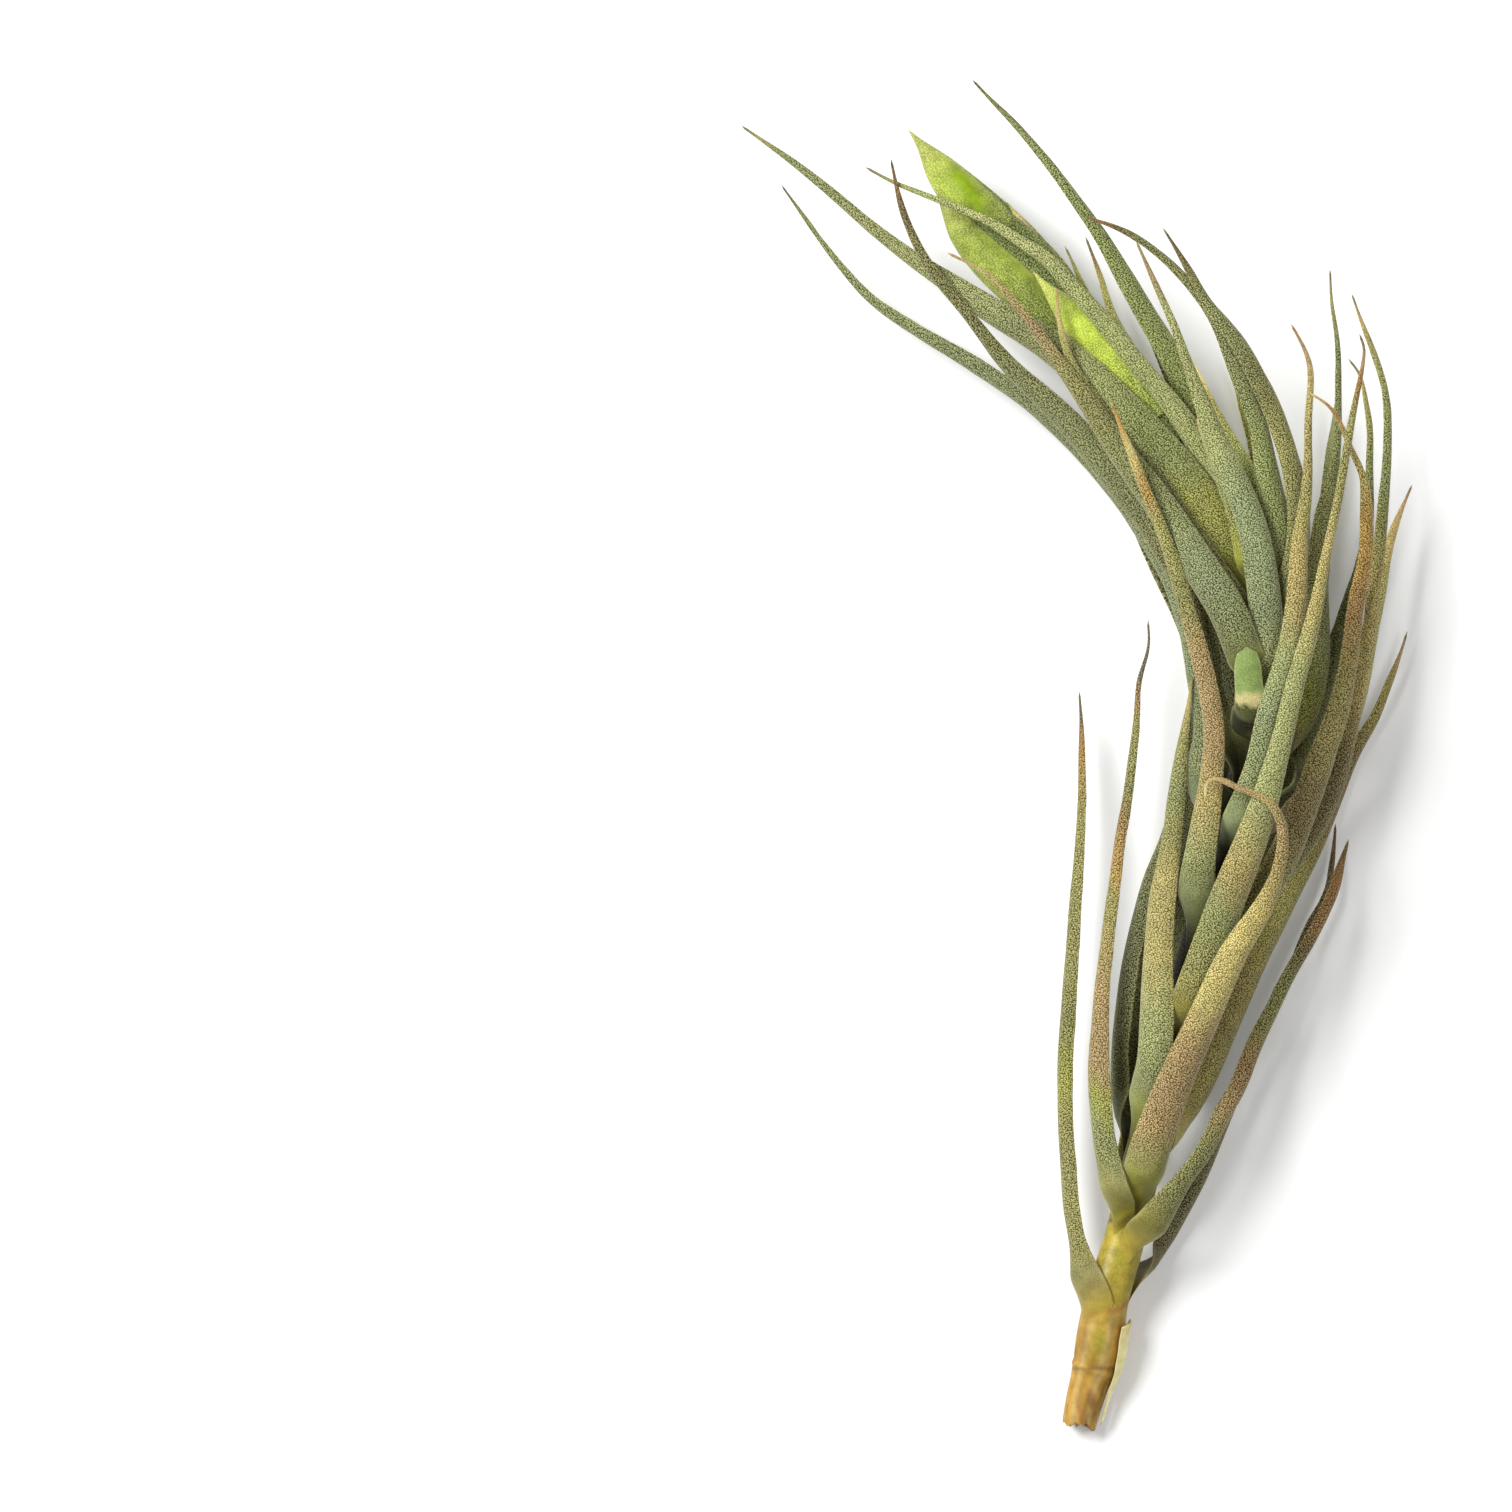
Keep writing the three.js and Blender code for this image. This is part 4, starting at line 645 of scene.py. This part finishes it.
def foot_rings(section, axis, length):
    """Sections that carry the foot of a leaf on along the stem, until it runs out in the stem's surface."""
    ways = unit(np.gradient(axis[0], axis=0))[nearest_on(axis[0], section)]
    rings = []
    for share in np.arange(1, FOOT_STEPS + 1) / FOOT_STEPS:
        left = (1 - share) ** 1.5
        rings.append(set_from_axis(
            section - ways * length * share, axis,
            lambda reach, radius: radius - SUNK + (reach - radius + SUNK) * left))
    return np.array(rings)


def tones_at(stops, values):
    """Colours at the given values, between stops such as "0 rust, 5..9 tan"."""
    known = [(float(place), linear(tone)) for run, tone in rows_of(stops) for place in run.split("..")]
    places, colours = zip(*known)
    return np.stack([np.interp(values, places, channel) for channel in zip(*colours)], -1)


def painted(colours, *layers):
    """Colours moved towards one tone after the other, each by its own share."""
    for tone, share in layers:
        colours = colours + (linear(tone) - colours) * share[..., None]
    return colours


def stem_tone(points):
    """Colour of the stem's skin: golden brown where bare, yellowish under sheaths, and painted shade among
    the leaves.
    """
    return tones_at("-86 bark, -82..-73 sheath, -69..-62 collar, -54 shade", points[..., 1])


def margin_share(across, start):
    """How pale a blade is at its margins, which start at a share of its half width: partly its scales' own
    pale fringe, partly painted sheen.
    """
    return PALE_MARGIN_AND_SHEEN * ease((np.abs(across) - start) / (1 - start))


def leaf_tones(stops, light=1.0):
    """Colours of a leaf by distance from its point, times a lightness that is partly painted light, paler at
    its margins in part as painted sheen, and darker in its hollow face as painted shade.
    """

    def tones(distance, across, is_back):
        mixed = painted(light * tones_at(stops, distance), ("cream", margin_share(across, 0.8)))
        return mixed * np.where(is_back, 1.0, HOLLOW_PAINTED_SHADE)[..., None]

    return tones


def leaf_cover(along, from_root, across):
    """Scales are fewer at the dry point and at the smooth sheath."""
    return (0.45 + 0.55 * ease(along / 16)) * (0.12 + 0.88 * ease((from_root - 3) / 9))


def young_cover(along, from_root, across):
    """A young leaf has fewer scales."""
    return 0.5 * leaf_cover(along, from_root, across)


def bare_cover(along, from_root, across):
    """The dry sheath has hardly any scales."""
    return 0.05


class Nodes:
    """Adds nodes to a tree, and fills their sockets by name or number."""

    def __init__(self, tree):
        self.tree = tree

    def fill(self, node, inputs):
        """Joins each socket to another node's output, or sets it to a constant."""
        for key, value in inputs.items():
            if isinstance(value, bpy.types.NodeSocket):
                self.tree.links.new(value, node.inputs[key])
            else:
                node.inputs[key].default_value = value
        return node

    def add(self, kind, inputs=None, **settings):
        node = self.tree.nodes.new(kind)
        for key, value in settings.items():
            setattr(node, key, value)
        return self.fill(node, inputs or {})

    def math(self, operation, a, b):
        return self.add("ShaderNodeMath", {0: a, 1: b}, operation=operation).outputs[0]

    def vector(self, operation, inputs):
        return self.add("ShaderNodeVectorMath", inputs, operation=operation).outputs[0]

    def mix(self, factor, a, b, blend="MIX"):
        inputs = {0: factor, 6: a, 7: b}
        return self.add("ShaderNodeMix", inputs, data_type="RGBA", blend_type=blend).outputs[2]

    def ramp(self, value, low, high, to_low=0.0, to_high=1.0):
        inputs = {"Value": value, "From Min": low, "From Max": high, "To Min": to_low, "To Max": to_high}
        return self.add("ShaderNodeMapRange", inputs, interpolation_type="SMOOTHSTEP").outputs[0]


def scaled_cover_group():
    """The cover of silvery scales: pale dots over a tone that is darker between them."""
    group = bpy.data.node_groups.new("scale_cover", "ShaderNodeTree")
    inputs = (
        ("Tone", "Color", (0.3, 0.35, 0.2, 1)), ("Frost", "Color", (0.7, 0.7, 0.45, 1)),
        ("Cover", "Float", 1.0), ("Place", "Vector", (0, 0, 0)), ("Grain", "Float", 0.46),
        ("Mottle", "Float", 0.5))
    for name, kind, default in inputs:
        socket = group.interface.new_socket(name=name, in_out="INPUT", socket_type=f"NodeSocket{kind}")
        socket.default_value = default
    for name, kind in (("Color", "Color"), ("Roughness", "Float"), ("Height", "Float")):
        group.interface.new_socket(name=name, in_out="OUTPUT", socket_type=f"NodeSocket{kind}")
    n = Nodes(group)
    start = n.add("NodeGroupInput").outputs
    place = n.add("ShaderNodeTexCoord").outputs["Object"]
    broad, small = (
        n.add("ShaderNodeTexNoise", {"Vector": place, "Scale": size, "Detail": detail}).outputs["Fac"]
        for size, detail in ((70, 3), (520, 4)))
    place = n.vector("MULTIPLY", {0: start["Place"], 1: SCALE_STRETCH})
    place = n.vector("SCALE", {0: place, "Scale": n.math("DIVIDE", 1.0, start["Grain"])})
    cells = n.add("ShaderNodeTexVoronoi", {"Vector": place, "Scale": 1.0, "Randomness": 0.85},
                  voronoi_dimensions="2D").outputs
    chance = n.add("ShaderNodeSeparateColor", {"Color": cells["Color"]}).outputs[0]
    fuzz = n.add("ShaderNodeTexNoise", {"Vector": place, "Scale": 1.7, "Detail": 1.0},
                 noise_dimensions="2D").outputs["Fac"]
    dot = n.ramp(cells["Distance"], 0.58, 0.2)
    for share in (n.ramp(chance, 0, 1, 0.55, 1), n.ramp(fuzz, 0.3, 0.6, 0.5, 1), start["Cover"]):
        dot = n.math("MULTIPLY", dot, share)
    swing = n.math("ADD", n.ramp(broad, 0.3, 0.7, -0.5, 0.5), n.ramp(small, 0.3, 0.7, -0.5, 0.5))
    swing = n.math("MULTIPLY", swing, start["Mottle"])
    shade = n.math("ADD", 0.94, n.math("MULTIPLY", swing, 0.5))
    tone = n.vector("SCALE", {0: start["Tone"], "Scale": shade})
    pit = n.mix(start["Cover"], tone, n.mix(1.0, tone, PIT_TINT, "MULTIPLY"))
    scale = n.mix(0.5, n.mix(1.0, tone, SCALE_TINT, "MULTIPLY"), start["Frost"])
    n.add("NodeGroupOutput", {
        "Color": n.mix(dot, pit, scale),
        "Roughness": n.ramp(dot, 0, 0.5, 0.5, 0.85),
        "Height": n.math("ADD", dot, n.math("MULTIPLY", small, 0.35))})


def new_material(name):
    """A new material, its nodes and its Principled shader."""
    material = bpy.data.materials.new(name)
    material.use_nodes = True
    return material, Nodes(material.node_tree), material.node_tree.nodes["Principled BSDF"]


def scaly_material(name, mottle=0.5, sheen=0.4, scatter=0.0, frost=None, grain=1.0, relief=1.0):
    """A plant skin under silvery scales, coloured by the mesh's own tone and cover."""
    s = bpy.context.scene.air_plant.frost
    material, n, shader = new_material(name)
    inputs = {"Frost": (*(frost or s.colour), 1), "Grain": s.grain / MM * grain, "Mottle": mottle}
    for key, kind in (("Tone", "Color"), ("Cover", "Fac"), ("Place", "Vector")):
        inputs[key] = n.add("ShaderNodeAttribute", attribute_name=key.lower()).outputs[kind]
    scales = n.add("ShaderNodeGroup", inputs, node_tree=bpy.data.node_groups["scale_cover"]).outputs
    bump = n.add("ShaderNodeBump", {
        "Height": scales["Height"], "Strength": 1.0, "Distance": s.relief * relief})
    n.fill(shader, {
        "Base Color": scales["Color"], "Roughness": scales["Roughness"], "Normal": bump.outputs["Normal"],
        "Sheen Weight": sheen, "Sheen Roughness": 0.35, "Sheen Tint": (0.9, 0.9, 0.55, 1),
        "Specular IOR Level": 0.15})
    if scatter:
        n.fill(shader, {
            "Subsurface Weight": scatter, "Subsurface Radius": (1.6, 2.4, 0.8), "Subsurface Scale": MM})
    return material


def settle(piece, slot, *nodes):
    """Joins a finished piece to the plant's body in place of its CAD nodes."""
    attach(piece, "root")
    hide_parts(*nodes)


class PLANT_OT_leaves(bpy.types.Operator):
    """Build every leaf as a fine blade through its CAD node's sections"""

    bl_idname = "plant.leaves"
    bl_label = "Leaves"

    def execute(self, context):
        plain = scaly_material("leaf_skin")
        young = scaly_material("young_leaf_skin", sheen=0.2, scatter=0.3)
        axis = stem_axis()
        for seed, row in enumerate(LEAVES.strip().replace("\n  ", " ").split("\n")):
            head, stops = row.split(": ")
            # light: the leaf's own lightness together with painted light for where the leaf lies
            name, slot, light = head.split()
            node = f"leaf_{name}"
            tip, rings = node_rings(node)
            skin = Skin()
            torn = slot == "young"
            add_blade(skin, tip, widened(rings, SPREAD.get(name, 1.0)), leaf_tones(stops, float(light)),
                      young_cover if torn else leaf_cover, seed, hug=axis, blunt=torn)
            settle(skin.make(f"{node}_blade", young if torn else plain), f"leaf_{slot}", node)
        return {"FINISHED"}


def section_frame(direction, angle):
    """Across and back directions of a section that is turned by an angle from straight up."""
    right = unit(np.cross(direction, (0, 0, 1)))
    over = unit(np.cross(right, direction))
    return right * math.cos(angle) - over * math.sin(angle), over * math.cos(angle) + right * math.sin(angle)


def bract_section(width, thickness):
    """Offsets across and to the back of a bract's section, its back first and then its hollow face."""
    share = np.linspace(-1, 1, HALF_RING)
    a = share * BRACT_HALF_ANGLE
    edge = math.cos(BRACT_HALF_ANGLE)
    x = width / 2 * np.sin(a) / math.sin(BRACT_HALF_ANGLE)
    y = BRACT_ARCH * width * (np.cos(a) - edge) / (1 - edge)
    depth = thickness * (1 - MARGIN_THINNING * share**2)
    inset = np.maximum(np.abs(x) - depth * np.abs(np.sin(a)), LEAST_INSET * np.abs(x))
    hollow = np.stack([np.sign(x) * inset, y - depth * np.maximum(np.cos(a), LEAST_INSET)], -1)
    return np.concatenate([np.stack([x, y], -1), hollow[::-1]])


def core_section(width, _thickness):
    """Offsets of a spike's core section."""
    a = math.pi - 2 * math.pi * (np.arange(RING_POINTS) + 0.5) / RING_POINTS
    return np.stack([width / 2 * np.cos(a), CORE_DEPTH * width * np.sin(a)], -1)


def spike_rings(course, spike, angle, outline, thickness):
    """The point and the sections of a bract or core along its course."""
    course, core = (np.array(rows_of(text), float) for text in (course, spike["core"]))
    core = core[:, :2]
    foot_way = core[-1] - core[0]
    low, high = spike["height"]
    share = (course[:, :2] - core[0]) @ foot_way / (foot_way @ foot_way)
    middles = np.column_stack([course[:, :2], low + (high - low) * share])
    rings = []
    for k, (_, _, width) in enumerate(course):
        way = unit(middles[max(k - 1, 0)] - middles[min(k + 1, len(middles) - 1)])
        across, back = section_frame(way, angle)
        offsets = outline(width, thickness)
        rings.append(middles[k] + offsets[:, :1] * across + offsets[:, 1:] * back)
    rings = np.array(rings)
    tip = rings[0].mean(0) + 0.9 * unit(middles[0] - middles[1])
    return tip, rings


def groove_share(groove, along, across):
    """How deep a place lies in the groove of a bract, whose vivid green is partly painted shade."""
    if groove is None:
        return np.zeros(np.broadcast_shapes(along.shape, across.shape))
    middle = np.interp(along, *zip(*groove))
    return bump_at(across, middle, 0.36) * ease((along - 7) / 4)


def bract_tones(main, groove=None):
    """A bract is pale at its point and its margins, the margins partly as painted sheen, frosted at its foot
    and deep green inside; its groove's vivid green is partly painted shade.
    """

    def tones(distance, across, is_back):
        return painted(
            linear(main),
            ("green", 0.75 * ease((distance - 12) / 22)),
            ("cream", 0.45 * ease((10 - distance) / 10)),
            ("vivid_green", groove_share(groove, distance, across)),
            ("cream", margin_share(across, 0.7)),
            ("deep_green", np.where(is_back, 0.0, 0.8)))

    return tones


def build_spike(spike, material, seed):
    """One spike: its core and its bracts, joined in one piece."""
    skin = Skin()
    tip, rings = spike_rings(spike["core"], spike, 0, core_section, 0)

    def cover(groove):
        return lambda along, from_root, across: (
            (0.5 + 0.4 * ease((along - 10) / 18)) * (1 - 0.95 * groove_share(groove, along, across)))

    parts = [(tip, rings, bract_tones("deep_green"), cover(None))]
    for face, tone, groove, course in spike["bracts"]:
        tip, rings = spike_rings(course, spike, math.radians(face), bract_section, BRACT_THICKNESS)
        parts.append((tip, rings, bract_tones(tone, groove), cover(groove)))
    wide = math.ceil(math.sqrt(len(parts)))
    for i, (tip, rings, tones, scales) in enumerate(parts):
        x, y = i % wide, i // wide
        tile = (x / wide, y / wide, (x + 0.98) / wide, (y + 0.98) / wide)
        add_blade(skin, tip, rings, tones, scales, seed + i, tile, fine=0.6, ripple=0.6)
    settle(skin.make(f"{spike['node']}_bracts", material), "spike_lime", spike["node"])


class PLANT_OT_spikes(bpy.types.Operator):
    """Build the flower spike and the side spike from their bracts"""

    bl_idname = "plant.spikes"
    bl_label = "Spikes"

    def execute(self, context):
        material = scaly_material(
            "bract_skin", mottle=0.8, sheen=0.15, scatter=0.15, frost=(0.82, 0.86, 0.42), grain=1.15,
            relief=1.2)
        build_spike(FLOWER_SPIKE, material, 200)
        build_spike(SIDE_SPIKE, material, 300)
        return {"FINISHED"}


def bark_tones(points, angle):
    """Colours of the stem, with a painted highlight and painted shade on its sheathed part. The angle runs
    from the left side over the top to the right side.
    """
    y = points[..., 1]
    bare = ease((-82 - y) / 4)
    sheath_highlight_band = bump_at(y, -77, 4.5)
    streak = 0.5 + 0.5 * np.sin(11 * angle + 1.6 * np.sin(0.3 * y))
    light = 0.5 + 0.5 * np.sin(7 * angle + 1.2 * np.sin(0.21 * y + 2))
    spots = ease(np.sin(2.1 * angle + 0.9 * y) * np.sin(0.7 * y + 5 * angle) + 0.2)
    collar_y = -70.4 + 0.5 * np.sin(2.6 * angle)
    margin_y = -82.6 + 0.9 * np.sin(2 * angle + 1)
    return painted(
        stem_tone(points),
        ("rust", 0.4 * streak ** 2 * bare),
        ("straw", 0.45 * light ** 2 * bare),
        ("rust", 0.75 * spots * ease((-93 - y) / 4)),
        ("citron", 0.7 * bump_at(angle, 1.5, 0.3) * bump_at(y, -88, 2.6)),
        ("umber", 0.45 * bump_at(y, -92.2, 0.35)),
        # painted highlight: a pale glossy stripe along the sheathed stem
        ("cream", 0.75 * bump_at(angle, 1.1, 0.16) * sheath_highlight_band),
        ("citron", 0.6 * bump_at(angle, 1.7, 0.35) * bump_at(y, -75, 3)),
        # painted shade: the right side of the sheathed stem, away from the key light, darkened to the
        # collar's tone
        ("collar", 0.8 * ease((angle - 2) / 0.7) * ease((y + 84) / 4)),
        ("rust", 0.7 * bump_at(y, margin_y, 0.7)),
        ("umber", 0.75 * bump_at(y, collar_y, 0.3)))


class PLANT_OT_stem(bpy.types.Operator):
    """Build the stem with its ring scars and its ragged cut end"""

    bl_idname = "plant.stem"
    bl_label = "Stem"

    def execute(self, context):
        centres, radii = stem_axis()
        keep = np.append(np.arange(FINE_SECTIONS), np.arange(FINE_SECTIONS, len(centres), STRIDE))
        centres, radii = centres[keep], radii[keep]
        ways = unit(np.gradient(centres, axis=0))
        across, back = section_frame(ways, 0)
        count = len(centres)
        angle = 2 * math.pi * np.arange(STEM_SIDES) / STEM_SIDES
        y = centres[:, 1, None]
        scar = 0.12 * bump_at(y, -92, 0.35) - 0.1 * bump_at(y, -91.2, 0.3)
        rib = 0.05 * np.cos(angle * 7 + 0.3 * y) + 0.035 * np.cos(angle * 17 - 0.5 * y)
        reach = 1.02 * radii[:, None] + scar + rib * (y < -80)
        slip = 0.35 * np.cos(angle * 3 + 1) + 0.25 * np.cos(angle * 8 + 2) + 0.15 * np.cos(angle * 19)
        slip = slip * np.maximum(0, 1 - np.arange(count) / 8)[:, None]
        rows = centres[:, None]
        for way, share in ((across, -reach * np.cos(angle)), (back, reach * np.sin(angle)), (ways, slip)):
            rows = rows + way[:, None] * share[..., None]
        skin = Skin()
        faces = [(face[0], *face[:0:-1]) for face in closed_faces(count, STEM_SIDES)]
        corners = in_tile(strip_corners(count, STEM_SIDES, 20, 190), (0, 0, 1, 0.86))
        y = rows[..., 1]
        turned = np.broadcast_to(angle, y.shape)
        cover = 0.03 + 0.1 * ease((y + 90) / 10)
        skin.add(rows.reshape(-1, 3), faces, corners.reshape(-1, 4, 2)[:, [0, 3, 2, 1]].reshape(-1, 2),
                 bark_tones(rows, turned).reshape(-1, 3), cover.ravel(),
                 np.stack([y, 3.4 * turned], -1).reshape(-1, 2))
        rng = np.random.default_rng(11)
        self.close_end(skin, rows[0], ways[0], (0, 0.88, 0.1, 0.98), 1, rng)
        self.close_end(skin, rows[-1], -ways[-1], (0.12, 0.88, 0.22, 0.98), -1, rng)
        material = scaly_material("stem_skin", mottle=0.7, sheen=0.0, scatter=0.05, grain=2.0, relief=1.2)
        settle(skin.make("stem_bark", material), "stem_bark", "stem")
        return {"FINISHED"}

    def close_end(self, skin, ring, way, tile, turn, rng):
        """Closes an end with a fibrous face that is sunk a little in its middle."""
        middle = ring.mean(0)
        sides = len(ring)
        rows = []
        for share in CUT_SHARES:
            depth = np.zeros(sides) if share == 1 else 0.25 * (1 - share) + 0.18 * rng.normal(size=sides)
            rows.append(middle + (ring - middle) * share + way * depth[:, None])
        points = np.concatenate([*rows, middle[None] + way * 0.3])
        hub = len(points) - 1
        last = hub - sides
        faces = closed_faces(len(CUT_SHARES), sides)
        faces += [(last + i, hub, last + (i + 1) % sides) for i in range(sides)]
        faces = [face[::turn] for face in faces]
        plan = np.stack([(points - middle) @ side for side in section_frame(way, 0)], -1)
        plan = in_tile((plan - plan.min(0)) / np.ptp(plan, axis=0), tile)
        corners = np.array([plan[i] for face in faces for i in face])
        share = np.append(np.repeat(CUT_SHARES, sides), 0)
        rind = np.clip(share**2 + 0.35 * rng.normal(size=len(share)), 0, 1)
        tones = painted(linear("cream"), ("rust", rind))
        skin.add(points, faces, corners, tones, np.zeros(len(points)), plan * 40)


class PLANT_OT_old_sheath(bpy.types.Operator):
    """Build the dry papery sheath that hangs on at the bare foot of the stem"""

    bl_idname = "plant.old_sheath"
    bl_label = "Old sheath"

    def execute(self, context):
        tip, rings = node_rings("old_sheath")
        paper = leaf_tones("0..12 paper, 18 straw", 1.3)
        skin = Skin()
        add_blade(skin, tip, rings, paper, bare_cover, 77, fine=0.5, ripple=2.0)
        material = scaly_material("old_sheath_skin", mottle=0.4, sheen=0.1, scatter=0.2, relief=0.6)
        settle(skin.make("old_sheath_flap", material), "old_sheath_paper", "old_sheath")
        return {"FINISHED"}


class PLANT_OT_stage(bpy.types.Operator):
    """Set the pale floor, the soft light and the camera that looks straight down"""

    bl_idname = "plant.stage"
    bl_label = "Stage"

    def execute(self, context):
        s = context.scene.air_plant.stage
        half, z = 6.0, -0.03 * MM
        mesh = bpy.data.meshes.new("floor")
        mesh.from_pydata([(-half, -half, z), (half, -half, z), (half, half, z), (-half, half, z)], [],
                         [(0, 1, 2, 3)])
        material, n, shader = new_material("floor_paper")
        n.fill(shader, {
            "Base Color": (*s.floor_colour, 1), "Roughness": 0.9, "Specular IOR Level": 0.1,
            "Emission Color": WHITE, "Emission Strength": s.glow})
        mesh.materials.append(material)
        add_object("floor", mesh)

        scene = context.scene
        scene.world = bpy.data.worlds.new("studio")
        scene.world.use_nodes = True
        tree = scene.world.node_tree
        Nodes(tree).fill(tree.nodes["Background"], {"Color": WHITE, "Strength": s.sky})
        self.add_light("key_light", (-0.55, 0.4, 0.95), 0.55, s.key_power)
        self.add_light("fill_light", (0.45, -0.05, 1.2), 0.5, s.fill_power)
        scene.view_settings.view_transform = "Standard"

        camera = bpy.data.cameras.new("camera")
        camera.lens = s.lens
        distance = PHOTO_PIXELS * PIXEL_SIZE * MM * camera.lens / camera.sensor_width
        camera.clip_end = 10 * distance
        scene.camera = add_object("camera", camera)
        scene.camera.location = (
            (PHOTO_PIXELS / 2 - ORIGIN_PIXEL[0]) * PIXEL_SIZE * MM,
            (ORIGIN_PIXEL[1] - PHOTO_PIXELS / 2) * PIXEL_SIZE * MM,
            (CAD_BOX[0].z + CAD_BOX[1].z) / 2 + distance)
        return {"FINISHED"}

    def add_light(self, name, place, size, power):
        """A round soft light at a place in metres, aimed at the plant."""
        light = bpy.data.lights.new(name, "AREA")
        light.shape = "DISK"
        light.size = size
        light.energy = power
        holder = add_object(name, light)
        holder.location = place
        holder.rotation_mode = "QUATERNION"
        holder.rotation_quaternion = (-Vector(place)).to_track_quat("-Z", "Y")


class PLANT_PT_panel(bpy.types.Panel):
    """Lists the plant's pieces and their settings"""

    bl_idname = "PLANT_PT_panel"
    bl_label = "Air plant"
    bl_space_type = "VIEW_3D"
    bl_region_type = "UI"
    bl_category = "Air plant"

    def draw(self, context):
        settings = context.scene.air_plant
        for group in (settings.blade, settings.frost, settings.stage):
            box = self.layout.box()
            for key in group.__annotations__:
                box.prop(group, key)
        for operator in OPERATORS:
            self.layout.operator(operator.bl_idname)


OPERATORS = (PLANT_OT_leaves, PLANT_OT_spikes, PLANT_OT_stem, PLANT_OT_old_sheath, PLANT_OT_stage)
CLASSES = (BladeSettings, FrostSettings, StageSettings, PlantSettings, *OPERATORS, PLANT_PT_panel)


def register():
    for cls in CLASSES:
        bpy.utils.register_class(cls)
    bpy.types.Scene.air_plant = bpy.props.PointerProperty(type=PlantSettings)


def unregister():
    del bpy.types.Scene.air_plant
    for cls in reversed(CLASSES):
        bpy.utils.unregister_class(cls)


def main():
    register()
    scaled_cover_group()
    bpy.ops.plant.stage()
    bpy.ops.plant.leaves()
    bpy.ops.plant.spikes()
    bpy.ops.plant.stem()
    bpy.ops.plant.old_sheath()
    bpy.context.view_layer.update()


if __name__ == "__main__":
    main()
